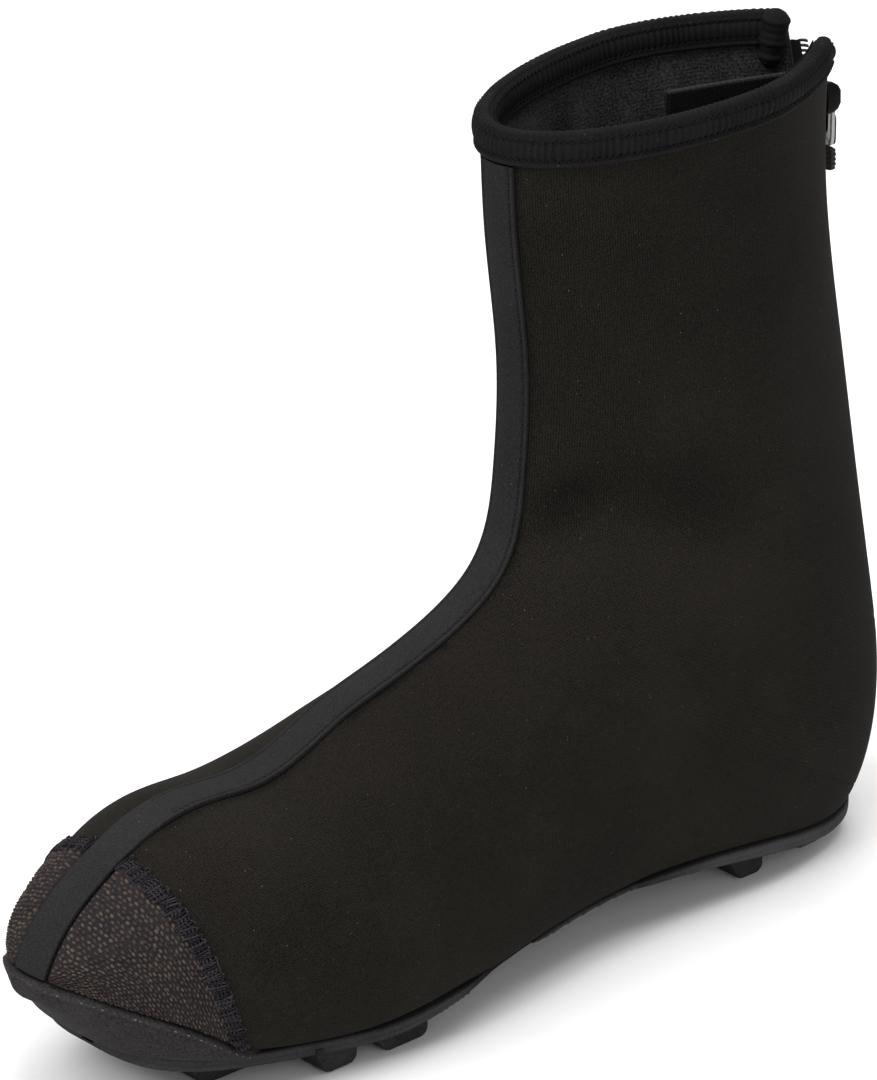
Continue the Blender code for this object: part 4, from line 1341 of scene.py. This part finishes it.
@dataclass
class CollarBinding:
    """Folded elastic binding over the collar, gathered between two stitch rows, its back ends curled."""

    last: Last
    shrink: float = 0.91
    columns: int = 1000
    pitch: float = 1.9
    pucker: float = 0.24
    dash_pitch: float = 3.4
    stitch_rows: tuple[float, ...] = (0.9, 6.9)
    outer: tuple[tuple[float, float], ...] = (
        (9.0, 0.10), (9.0, 0.90), (8.8, 1.35), (8.3, 1.62), (7.7, 1.55), (7.3, 1.20), (6.9, 1.05), (6.5, 1.15),
        (5.9, 1.42), (5.0, 1.58), (4.0, 1.64), (3.0, 1.58), (2.0, 1.42), (1.3, 1.05), (0.9, 0.85), (0.55, 0.80),
        (0.25, 0.62),
    )
    inner: tuple[tuple[float, float], ...] = (
        (0.3, -3.85), (0.9, -4.15), (1.7, -4.60), (2.8, -4.95), (4.0, -5.05), (5.2, -4.95),
        (6.2, -4.70), (6.9, -4.42), (7.6, -4.80), (8.4, -4.95), (8.9, -4.70), (9.0, -3.2),
    )
    rim_at: float = 8.2
    roll_half: float = 1.8
    roll_rise: float = 1.15
    roll_steps: int = 13
    roll_pucker: float = 0.12
    far_shift: float = -2.2
    thread_radius: float = 0.18
    thread_out: tuple[tuple[float, float], ...] = ((0.98, -4.40), (1.22, -4.72))
    near_cut: float = 5.2
    far_cut: float = 1.6
    far_curl: tuple[float, float, float] = (-1.8, 15.0, 4.5)
    far_lean: tuple[float, float] = (1.6, 5.2)
    near_curl: tuple[float, float, float] = (3.2, 11.5, 2.3)
    near_lean: tuple[float, float] = (2.4, 1.4)

    def gathers(self, arc: Array) -> Array:
        """Uneven gathers round the collar, from -1 in a fold to 1 on a crest."""
        phase = 2.0 * np.pi * arc / self.pitch + 1.5 * np.sin(arc / 5.3) + 1.2 * np.sin(arc / 2.3)
        return np.cos(phase) * (0.72 + 0.28 * np.sin(arc / 3.7 + 1.3 * np.sin(arc / 8.1)))

    def end(self, cut: float) -> float:
        """Angle of an end, a length short of the slit."""
        return np.pi - float(self.last.angle_at(0.0, self.last.slit_half_top + cut, np.pi))

    def build(self) -> None:
        """Make the binding, its stitches and its curled ends."""
        last = self.last
        angles = np.linspace(-self.end(self.far_cut), self.end(self.near_cut), self.columns)
        roll = np.linspace(0.0, np.pi, self.roll_steps)
        collar = last.form(0.0, angles)
        upward = unit(collar - last.form(1e-3, angles))
        rows = list(self.outer) + [(0.0, math.nan)] * len(roll) + list(self.inner)
        level = np.array([depth for depth, _ in rows])
        out = np.array([reach for _, reach in rows])
        rise = np.zeros(len(rows))
        span = slice(len(self.outer), len(self.outer) + len(roll))
        out[span] = -last.wall / 2.0 + self.roll_half * np.cos(roll)
        rise[span] = self.roll_rise * np.sin(roll)
        crown = np.zeros(len(rows))
        crown[span] = np.cos(roll)
        places = last.places_down(level * self.shrink, angles)
        arc = arc_of(collar, 0)
        gather = self.gathers(arc)[None, :]
        first, second = self.stitch_rows
        below, above = smooth(first - 0.6, first + 1.0, level), smooth(second - 0.8, second + 0.4, level)
        between = (below * (1.0 - above))[:, None]
        rim = hump(level, self.rim_at, 0.7)[:, None]
        relief = gather * (self.pucker * between + 0.3 * self.pucker * rim) * np.sign(out)[:, None]
        relief = relief + self.roll_pucker * gather * crown[:, None]
        points = last.skin(places, angles[None, :], out[:, None] + relief)
        lift = rise[:, None] * (1.0 + 0.14 * gather)
        points = last.droop(points + lift[..., None] * upward[None])
        pits = sum(hump(level, row, 0.5) for row in self.stitch_rows) * (rise == 0.0)
        dash = smooth(-0.2, 0.5, np.cos(2.0 * np.pi * arc / self.dash_pitch + 0.8 * np.sin(arc / 4.0)))[None, :]
        # Stitch rows darker, partly the dark stitches and partly painted shade in the sunk rows, deepest in the
        # gathers' folds; painted light on the gathers' crests and painted shade in their folds between the rows.
        tone = 0.5 - pits[:, None] * (0.20 - 0.12 * gather + 0.30 * dash) + 0.16 * gather * between
        # Painted highlight along the raised lower rim and on the roll's gathered crests.
        tone = tone + (0.20 * hump(level, 8.3, 0.5))[:, None] + 0.10 * gather * (rise > 0.3)[:, None]
        build = MeshBuilder()
        build.grid(points[::-1], tone[::-1])
        self.curl(build, [-self.end(cut) for cut in self.far_lean], self.far_curl, self.far_shift)
        self.curl(build, [self.end(cut) for cut in self.near_lean], self.near_curl, 0.0)
        self.zigzag(build, angles, arc)
        item = build.build("collar_edge_binding", (BINDING_CLOTH, BINDING_THREAD))
        settle(item, stands_for=("collar_binding",))

    def curl(self, build: MeshBuilder, lean: Sequence[float], size: tuple[float, float, float], shift: float) -> None:
        """Gathered roll down one end of the binding.

        Args:
            build: Mesh to add to.
            lean: Angles of the roll's top and bottom.
            size: Top and bottom below the collar, and the radius.
            shift: Outward move from the wall's middle.
        """
        last = self.last
        top, low, radius = size
        down = np.linspace(0.0, 1.0, 60)
        depth = top + (low - top) * down
        turn = lean[0] + (lean[1] - lean[0]) * down
        inside = np.maximum(depth, 0.0)
        places = last.places_at(inside, turn)
        path = last.skin(places, turn, np.full(depth.shape, shift - last.wall / 2.0))
        path = last.droop(path + np.maximum(-depth, 0.0)[:, None] * Z_AXIS)
        lumps = 0.06 * np.sin(1.1 * depth + 0.6) + 0.04 * np.sin(2.3 * depth) * np.sin(0.7 * depth)
        rounded = np.sqrt(np.clip(1.0 - (2.0 * down - 1.0) ** 4, 0.01, 1.0))
        girth = radius * rounded * (1.0 - 0.35 * down + lumps)
        # Tone follows the roll's lumps: painted light on each swelling.
        build.tube(path, last.normal(places, turn), girth, 0.5 + 1.6 * lumps, sides=24)

    def zigzag(self, build: MeshBuilder, angles: Array, arc: Array) -> None:
        """Zigzag thread along both stitch rows, outside and inside.

        Args:
            build: Mesh to add to.
            angles: Angles round the collar.
            arc: Length round the collar at each angle.
        """
        last = self.last
        at = np.arange(3.0, arc[-1] - 3.0, self.pitch / 2.0)
        turn = np.interp(at, arc, angles)
        swing = 0.6 * np.where(np.arange(len(at)) % 2 == 0, 1.0, -1.0)
        for row, outs in zip(self.stitch_rows, self.thread_out):
            depth = (row + swing) * self.shrink
            places = last.places_at(depth, turn)
            for out in outs:
                line = last.droop(last.skin(places, turn, np.full(len(at), out)))
                lift = last.normal(places, turn) * np.sign(out)
                build.threads(line[:-1], line[1:], lift[:-1], self.thread_radius, 0.06, tone=0.45, finish=1)


@dataclass
class Zip:
    """Two zip tapes and the nylon coil between them, parted above the slider."""

    last: Last
    gap: float = 0.8
    sunk: float = 0.6
    coil_half: float = 2.0
    coil_out: float = 0.75
    tooth_pitch: float = 1.45
    tooth_radius: float = 0.46
    top: float = 0.016

    def rims(self, places: Array) -> tuple[Array, Array]:
        """Outer edge and coil edge of one tape, from the middle of the slit."""
        edge = self.last.slit_half(places) - self.gap
        return edge, edge - (self.last.slit_half_low - self.gap - self.coil_half)

    def across(self, places: Array, reach: Array, out: Array) -> Array:
        """Points across the slit, at signed lengths from its middle."""
        turn = self.last.angle_at(places, np.abs(reach), np.pi) * np.sign(reach)
        return self.last.skin(places, np.pi + turn, np.broadcast_to(out, np.shape(turn)))

    def build(self) -> None:
        """Make the tapes, the coil's teeth and the bottom stop."""
        last = self.last
        places = last.places_by_arc(np.pi, self.top, last.zip_end - 0.001, self.tooth_pitch)
        edge, rim = self.rims(places)
        build = MeshBuilder()
        for side in (-1.0, 1.0):
            steps = ((edge + 0.5, -self.sunk - 0.5), (edge, -self.sunk), (rim + 0.5, -self.sunk), (rim - 0.4, 0.1))
            columns = [self.across(places, side * reach, np.full(len(places), out)) for reach, out in steps]
            order = columns if side > 0.0 else columns[::-1]
            build.grid(np.stack(order[::-1], axis=1), 0.45)
        for side in (-1.0, 1.0):
            shift = 0.25 * side * (places[1] - places[0])
            at = np.clip(places + shift, 0.001, last.zip_end)
            edge, rim = self.rims(at)
            lift = last.normal(at, np.full(len(at), np.pi))
            starts = self.across(at, side * (rim + 0.5), np.full(len(at), 0.15))
            ends = self.across(at, side * (rim - 2.0) - side * 0.5, np.full(len(at), 0.45))
            build.threads(starts, ends, lift, self.tooth_radius, self.coil_out, tone=0.6, finish=1)
        self.stop(build)
        item = build.build("zip_tapes_and_coil", (ZIP_CLOTH, ZIP_COIL))
        settle(item, stands_for=("zip",))

    def stop(self, build: MeshBuilder) -> None:
        """Moulded stop across the coil's lower end."""
        place = np.array([self.last.zip_end - 0.004])
        starts = self.across(place, np.array([-2.4]), np.array([0.6]))
        ends = self.across(place, np.array([2.4]), np.array([0.6]))
        build.threads(starts, ends, self.last.normal(place, np.array([np.pi])), 0.9, 0.3, tone=0.5, finish=1)


@dataclass
class Slider:
    """Zip slider: a channel over the coil, with cheeks that hold the pull's pin."""

    last: Last
    half: float = 4.5
    long: float = 9.0
    out: float = 1.2
    floor: float = 4.0
    rim: float = 6.3
    cheek: float = 1.1
    pivot_out: float = 5.6
    rounding: float = 0.8
    rings: tuple[tuple[float, float, float], ...] = (
        (-0.50, 0.80, 0.62), (-0.38, 0.94, 0.86), (-0.20, 1.0, 1.0),
        (0.20, 1.0, 1.0), (0.38, 0.94, 0.84), (0.50, 0.76, 0.56),
    )

    def frame(self) -> tuple[Array, Array, Array]:
        """Middle of the slider on the back line, with outward and upward directions."""
        middle = self.last.form(self.last.slider_place, np.pi)
        outward = self.last.normal(self.last.slider_place, np.pi)
        return middle, outward, unit(np.cross(X_AXIS, outward))

    def pivot(self) -> Array:
        """Point on the pull's hinge axis."""
        middle, outward, _ = self.frame()
        return middle + outward * self.pivot_out

    def build(self) -> None:
        """Make the body and its cheeks."""
        middle, outward, upward = self.frame()
        inner = self.half - self.cheek
        right = [(self.half, self.out), (self.half, self.rim), (inner, self.rim), (inner, self.floor)]
        outline = np.array(right + [(-x, out) for x, out in reversed(right)])
        rings = []
        for reach, narrow, dome in self.rings:
            height = self.out + (outline[:, 1:] - self.out) * dome
            flat = middle + outline[:, :1] * X_AXIS * narrow + height * outward
            rings.append(flat + upward * reach * self.long)
        build = MeshBuilder()
        build.grid(np.stack(rings), 0.5, around=True)
        for ring in (rings[0][::-1], rings[-1]):
            build.grid(np.stack([ring, np.broadcast_to(ring.mean(axis=0), ring.shape)]), 0.5, around=True)
        item = build.build("slider_body", (SLIDER_ENAMEL,), weld=True)
        soften(item, self.rounding)
        settle(item, stands_for=("zip_slider",))


@dataclass
class Pull:
    """Pull tab: a flat bar with an eye, a dark lip and a ribbed grip."""

    slider: Slider
    half: float = 2.6
    thick: float = 1.4
    eye: float = 1.0
    long: float = 15.0
    grip_half: float = 3.2
    grip_thick: float = 2.6
    grip_long: float = 7.0
    gap: float = 0.3
    corner: float = 0.25
    plate_power: float = 0.35
    slot: float = 0.42
    slot_stretch: float = 1.3
    lip_top: float = -6.0
    lip_thick: float = 0.8
    lip_lift: float = 0.05
    grip_power: float = 0.5
    rib_count: float = 5.0
    rib_depth: float = 0.10

    def plate(
        self, build: MeshBuilder, size: tuple[float, float, float], span: tuple[float, float], hollow: bool,
    ) -> None:
        """Rounded plate in the pull's plane.

        Args:
            build: Mesh to add to.
            size: Half width, near face and far face out.
            span: Lowest and highest point, from the pivot.
            hollow: Leave a slot in the middle.
        """
        half, near, far = size
        low, high = span
        x, z = squared(np.linspace(0.0, 2.0 * np.pi, 48, endpoint=False), self.plate_power)
        middle, tall = (low + high) / 2.0, (high - low) / 2.0
        soft = self.corner
        inner = self.slot if hollow else 0.0
        hole = (half * inner, tall * inner * self.slot_stretch)
        face = (half - soft, tall - soft)
        full = (half, tall)
        rings = ((*hole, near), (*face, near), (*full, near + soft), (*full, far - soft), (*face, far), (*hole, far))
        loops = [np.stack([x * wide, np.full_like(x, out), middle + z * long], axis=1) for wide, long, out in rings]
        if hollow:
            loops.append(loops[0])
        build.grid(np.stack(loops) + self.slider.pivot(), 0.55, around=True)

    def build(self) -> None:
        """Make the bar, its lip and the grip."""
        thick = self.thick / 2.0
        bar = MeshBuilder()
        self.plate(bar, (self.half, -thick, thick), (-self.long, self.eye), hollow=True)
        item = bar.build("pull_bar", (PULL_METAL,), weld=True)
        settle(item, Body.PULL, ("zip_pull",))
        grip = MeshBuilder()
        faces = (thick + self.lip_lift, thick + self.lip_lift + self.lip_thick)
        self.plate(grip, (self.half * 0.9, *faces), (-self.long, self.lip_top), hollow=False)
        self.ribbed(grip)
        item = grip.build("pull_grip", (GRIP_RUBBER,), weld=True)
        settle(item, Body.PULL, ("zip_grip",))

    def ribbed(self, build: MeshBuilder) -> None:
        """Ribbed grip under the bar."""
        top = -self.long - self.gap
        rows = np.linspace(0.0, 1.0, 41)
        ribs = 1.0 - self.rib_depth * (0.5 + 0.5 * np.cos(2.0 * np.pi * self.rib_count * rows))
        ends = np.sqrt(np.clip(1.0 - np.abs(2.0 * rows - 1.0) ** 8, 0.0, 1.0))
        turn = np.linspace(0.0, 2.0 * np.pi, 40, endpoint=False)
        x, y = squared(turn, self.grip_power)
        x, y = x * self.grip_half, y * self.grip_thick / 2.0
        size = (ribs * ends)[:, None]
        z = np.broadcast_to((top - self.grip_long * rows)[:, None], (len(rows), len(turn)))
        points = np.stack([x[None, :] * size, y[None, :] * size, z], axis=-1)
        build.grid(points + self.slider.pivot(), 0.5, around=True)


@dataclass
class StormFlap:
    """Knit storm flap behind the zip, with a raw pale top edge."""

    last: Last
    from_back: float = 12.0
    sunk: float = 5.4
    reach: tuple[float, float] = (-13.0, -40.0)
    thick: float = 1.4
    top: float = 0.025
    low: float = 0.19
    bow: float = 0.7
    rows: int = 90
    columns: int = 60

    def build(self) -> None:
        """Make the flap."""
        last = self.last
        places = np.linspace(self.top, self.low, self.rows)
        turn = np.pi - last.angle_at(places, self.from_back, np.pi)
        start = last.skin(places, turn, np.full(self.rows, -self.sunk))
        share = np.linspace(0.0, 1.0, self.columns)
        way = np.array([*self.reach, 0.0])
        across = unit(np.array([self.reach[1], -self.reach[0], 0.0]))
        points = start[:, None] + share[None, :, None] * way
        points = points + (self.bow * np.sin(np.pi * share))[None, :, None] * across
        depth = arc_of(points, 0)
        tone = 0.02 + 0.14 * (1.0 - smooth(0.0, 0.5, depth)) * (0.75 + 0.25 * np.sin(share * 140.0))[None, :]
        build = MeshBuilder()
        build.grid(points, tone)
        item = build.build("storm_flap_knit", (FLAP_KNIT,))
        thicken(item, self.thick, outward=True)
        settle(item, stands_for=("zip_flap",))


@dataclass(frozen=True)
class Lug:
    """A wedge lug; across is a share of the sole's half width, front, flat and rear are along."""

    across: float
    front: float
    flat: float
    rear: float
    width: float


LUGS = (
    Lug(0.00, 0.876, 0.845, 0.777, 34.0),
    Lug(0.67, 0.766, 0.751, 0.719, 20.0),
    Lug(0.59, 0.705, 0.685, 0.639, 20.0),
    Lug(0.46, 0.241, 0.213, 0.187, 15.0),
    Lug(0.44, 0.150, 0.128, 0.100, 14.0),
)


@dataclass
class Outsole:
    """Rubber sole: a layered side strip, arch, toe spring, wedge lugs, ribs and a rolled edge under the arch."""

    last: Last
    lip: float = 1.0
    arch_setback: float = 2.2
    root: float = 2.0
    rows: int = 170
    side: tuple[tuple[float, float], ...] = (
        (-3.0, 1.00), (-0.9, 1.00), (-0.35, 0.97), (-0.05, 0.90), (0.05, 0.80), (-0.10, 0.72), (0.02, 0.64),
        (0.05, 0.55), (-0.12, 0.47), (0.0, 0.40), (0.0, 0.28), (-0.12, 0.12), (-0.5, 0.02), (-1.4, 0.0),
    )
    rib_from: float = 0.612
    rib_to: float = 0.645
    rib_count: int = 6
    roll_from: float = 0.362
    roll_to: float = 0.520
    roll_radius: float = 1.05
    roll_drop: float = 0.5
    roll_in: float = 1.6
    roll_fold: float = 6.5
    lug_corner: float = 2.6
    lug_rounding: float = 0.5
    rib_thick: float = 0.0022
    rib_reach: tuple[float, float] = (9.0, 0.6)
    rib_heights: tuple[float, ...] = (2.0, 0.0, -0.7, -0.1, 2.0)
    thinnest: float = 0.2

    def edges(self, count: int) -> tuple[Array, Array]:
        """Left and right edges of the plate at the upper's lower edge.

        Args:
            count: Rows along the foot.

        Returns:
            Points of both edges, heel to toe.
        """
        last = self.last
        even = np.linspace(0.0, 1.0, count + 2)[1:-1]
        places = last.heel_end + (last.toe_end - last.heel_end) * eased(even)
        reach = last.feather_angle(places)
        return last.form(places, reach), last.form(places, -reach)

    def build(self) -> None:
        """Make the plate, the lugs and the arch's roll."""
        last = self.last
        left, right = self.edges(self.rows)
        outward = unit(left - right)
        left, right = left + outward * self.lip, right - outward * self.lip
        columns = []
        steps = np.array(self.side)
        lower = np.linspace(0.0, 1.0, 14)[1:-1]
        back = [outward * self.arch_setback * arch_share(last.along_of(line))[:, None] for line in (left, right)]
        near, far = left - back[0], right + back[1]
        for offset, _ in steps:
            columns.append(near + outward * offset)
        inner_left, inner_right = near + outward * steps[-1, 0], far - outward * steps[-1, 0]
        for share in lower:
            columns.append(inner_left * (1.0 - share) + inner_right * share)
        for offset, _ in steps[::-1]:
            columns.append(far - outward * offset)
        points = np.stack(columns, axis=1)
        along = last.along_of(points)
        share = self.strip_share(along)
        level = np.concatenate([steps[:, 1], np.zeros(len(lower)), steps[::-1, 1]])
        top = last.profile(SOLE_UNDER, along) + last.sole_thick
        points[..., 2] = top - last.sole_thick * share * (1.0 - level[None, :])
        strip = self.strip_tone(steps[:, 1])
        tone = np.concatenate([strip, np.full(len(lower), 0.25), strip[::-1]])
        heel = 1.0 - smooth(0.24, 0.36, along)
        # Painted shade: the strip darkens where it thins and, most, under the arch, where the neoprene overhangs it.
        tone = np.broadcast_to(tone[None, :], points.shape[:2]) * smooth(0.25, 0.8, share) + 0.08
        tone = (tone + 0.24 * heel) * (1.0 - 0.75 * arch_share(along))
        ends = []
        for row, shift in ((points[0], 0.5), (points[-1], -0.5)):
            middle = np.broadcast_to(row.mean(axis=0), row.shape)
            ends.append(row * 0.25 + middle * 0.75 + np.array([0.0, shift, 0.0]))
        points = np.concatenate([ends[0][None], points, ends[1][None]])
        tone = np.concatenate([tone[:1], tone, tone[-1:]])
        build = MeshBuilder()
        build.grid(points, tone)
        item = build.build("sole_plate", (SOLE_RUBBER,))
        settle(item, stands_for=("outsole",))
        self.lugs(left, right)
        self.roll(left)

    def strip_share(self, along: Array) -> Array:
        """Share of the plate's thickness that the side strip has."""
        return np.clip(self.last.profile(SOLE_SHARE, along), self.thinnest, 1.0)

    def strip_bottom(self, along: Array) -> Array:
        """Height of the side strip's lower edge."""
        return self.last.profile(SOLE_UNDER, along) + self.last.sole_thick * (1.0 - self.strip_share(along))

    @staticmethod
    def strip_tone(level: Array) -> Array:
        """Tone of the side strip's layers."""
        # The layers' bands are the rubber's own; the darker top, under the upper's lip, is partly a dark seam line and
        # partly painted shade, and the darker turned-under lower corner is painted shade.
        return 0.55 + 0.10 * np.cos(level * 19.0) - 0.35 * smooth(0.85, 1.0, level) - 0.2 * (level < 0.05)

    def lug_outline(self, lug: Lug) -> Array:
        """Side view of a lug: ramp, flat on the floor, rounded rear corner.

        Args:
            lug: The lug.

        Returns:
            Corners as shares along and heights.
        """
        tops = self.last.profile(SOLE_UNDER, np.array([lug.front, lug.flat, lug.rear])) + self.root
        turn = np.linspace(0.0, 0.5 * np.pi, 6)
        ahead = self.lug_corner / self.last.length * (1.0 - np.sin(turn))
        up = self.lug_corner * (1.0 - np.cos(turn))
        ramp = [(lug.front, tops[0]), (lug.front, tops[0] - self.root - 0.5), (lug.flat + 0.006, 0.6), (lug.flat, 0.0)]
        rear = list(zip(lug.rear + ahead, up))
        return np.array(ramp + rear + [(lug.rear, tops[2]), (lug.flat, tops[1])])

    def lugs(self, left: Array, right: Array) -> None:
        """All wedge lugs, and the small ribs behind the ball's rear lug.

        Args:
            left: Left edge of the plate.
            right: Right edge of the plate.
        """
        last = self.last
        along = last.along_of(left)
        ways = (-Y_AXIS * last.length, Z_AXIS, X_AXIS, Y_AXIS * last.heel_y)
        build = MeshBuilder()
        for lug in LUGS:
            for side in (-1.0, 1.0) if lug.across else (1.0,):
                where = (lug.front + lug.rear) / 2.0
                edge = [np.interp(where, along, line[:, 0]) for line in (left, right)]
                middle = (edge[0] + edge[1]) / 2.0 + side * lug.across * (edge[0] - edge[1]) / 2.0
                outline = self.lug_outline(lug)
                build.prism(outline, ways, middle - lug.width / 2.0, middle + lug.width / 2.0, 0.42)
        for at in np.linspace(self.rib_from, self.rib_to, self.rib_count):
            low = float(self.strip_bottom(np.array(at)))
            shares = at + self.rib_thick * np.array([1.0, 1.0, 0.0, -1.0, -1.0])
            outline = np.stack([shares, low + np.array(self.rib_heights)], axis=1)
            for line, side in ((left, 1.0), (right, -1.0)):
                edge = float(np.interp(at, along, line[:, 0]))
                ends = sorted(edge - side * reach for reach in self.rib_reach)
                build.prism(outline, ways, ends[0], ends[1], 0.36)
        item = build.build("sole_lugs", (SOLE_RUBBER,), weld=True)
        soften(item, self.lug_rounding)
        settle(item)

    def roll(self, left: Array) -> None:
        """Black rolled edge with small stepped folds under the arch."""
        last = self.last
        along = last.along_of(left)
        at = np.linspace(self.roll_from, self.roll_to, 160)
        path = along_line(at, along, left)
        path[:, 2] = last.profile(SOLE_UNDER, at) + last.sole_thick - self.roll_drop
        path[:, 0] -= self.roll_in
        arc = arc_of(path, 0)
        fold = (arc / self.roll_fold) % 1.0
        taper = np.sqrt(np.clip(np.minimum(at - self.roll_from, self.roll_to - at) / 0.02, 0.02, 1.0))
        radius = self.roll_radius * taper * (0.86 + 0.22 * fold)
        build = MeshBuilder()
        # Tone rises along each fold to its swollen end: painted light on the folds.
        build.tube(path, np.broadcast_to(np.array([1.0, 0.0, 0.3]), path.shape), radius, 0.35 + 0.5 * fold**3)
        item = build.build("arch_roll", (ARCH_ROLL,))
        settle(item)


LAMPS = (
    ("key", (-0.2, -1.6, 1.9), 1.4, 44.0),
    ("fill", (2.0, -0.6, 0.8), 1.6, 11.0),
    ("rim", (-1.0, 1.2, 1.6), 1.2, 18.0),
    ("top", (0.5, -0.2, 2.2), 1.3, 26.0),
)


@dataclass
class Studio:
    """Pale floor, soft lights and the photograph's camera."""

    azimuth: float = 47.5
    elevation: float = 24.0
    distance: float = 1.7
    floor_reach: float = 9.0
    floor_drop: float = 0.0004
    floor_greys: tuple[float, float] = (0.80, 0.84)
    sky: float = 0.52
    target: tuple[float, float, float] = (0.0, 0.0, 0.110)
    focal: float = 6318.0
    picture: tuple[float, float] = (877.0, 1080.0)
    axis: tuple[float, float] = (454.0, 578.3)
    sensor: float = 36.0

    def back(self) -> Vector:
        """Direction from the target to the camera."""
        turn, tilt = math.radians(self.azimuth), math.radians(self.elevation)
        return Vector((math.sin(turn) * math.cos(tilt), -math.cos(turn) * math.cos(tilt), math.sin(tilt)))

    def camera(self) -> None:
        """Camera at the photograph's angle."""
        data = bpy.data.cameras.new("photo_camera")
        data.sensor_fit = "HORIZONTAL"
        data.sensor_width = self.sensor
        data.lens = self.sensor * self.focal / self.picture[0]
        data.shift_x = (self.picture[0] / 2.0 - self.axis[0]) / self.picture[0]
        data.shift_y = (self.axis[1] - self.picture[1] / 2.0) / self.picture[0]
        data.clip_end = 20.0
        data.dof.use_dof = False
        item = bpy.data.objects.new("photo_camera", data)
        back = self.back()
        item.location = Vector(self.target) + back * self.distance
        item.rotation_euler = back.to_track_quat("Z", "Y").to_euler()
        bpy.context.scene.collection.objects.link(item)
        bpy.context.scene.camera = item

    def light(self, name: str, place: Colour, size: float, power: float) -> None:
        """Soft square lamp that points at the shoe.

        Args:
            name: Name of the lamp.
            place: Where it stands, in metres.
            size: Side of the lamp.
            power: Watts.
        """
        data = bpy.data.lights.new(name, "AREA")
        data.size = size
        data.energy = power
        item = bpy.data.objects.new(name, data)
        item.location = place
        item.rotation_euler = (Vector(place) - Vector(self.target)).to_track_quat("Z", "Y").to_euler()
        bpy.context.scene.collection.objects.link(item)

    def floor(self) -> None:
        """Wide pale floor, open on all sides so that every view is clear."""
        reach = self.floor_reach
        corners = [(-reach, -reach), (reach, -reach), (reach, reach), (-reach, reach)]
        mesh = bpy.data.meshes.new("studio_floor")
        mesh.from_pydata([(x, y, -self.floor_drop) for x, y in corners], [], [(0, 1, 2, 3)])
        material = bpy.data.materials.new("pale_floor")
        material.use_nodes = True
        kit = NodeKit(material.node_tree)
        shader = material.node_tree.nodes["Principled BSDF"]
        grain = kit.add("ShaderNodeGroup", node_tree=Effects.grain())
        dull, bright = ((value, value, value, 1.0) for value in self.floor_greys)
        kit.put(shader.inputs["Base Color"], kit.mix(grain.outputs["Tone"], dull, bright))
        shader.inputs["Roughness"].default_value = 0.9
        mesh.materials.append(material)
        item = bpy.data.objects.new("studio_floor", mesh)
        bpy.context.scene.collection.objects.link(item)

    def world(self) -> None:
        """Even pale surroundings."""
        world = bpy.data.worlds.new("studio_world")
        world.use_nodes = True
        shade = world.node_tree.nodes["Background"]
        shade.inputs[0].default_value = (1.0, 1.0, 1.0, 1.0)
        shade.inputs[1].default_value = self.sky
        bpy.context.scene.world = world

    def build(self) -> None:
        """Set the stage."""
        bpy.context.scene.view_settings.view_transform = "Standard"
        self.camera()
        self.floor()
        self.world()
        for lamp in LAMPS:
            self.light(*lamp)


def main() -> None:
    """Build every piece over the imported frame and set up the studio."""
    logging.basicConfig(level=logging.INFO, format="%(name)s: %(message)s")
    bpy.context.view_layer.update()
    last = Last()
    tape = FrontTape(last)
    slider = Slider(last)
    parts = (
        Upper(last), tape,
        ToePatch(last, tape, "toe_patch_left", 1.0), ToePatch(last, tape, "toe_patch_right", -1.0),
        ToeBumper(last), CollarBinding(last), Zip(last), slider, Pull(slider), StormFlap(last),
        Outsole(last), Studio(),
    )
    for part in parts:
        part.build()


if __name__ == "__main__":
    main()
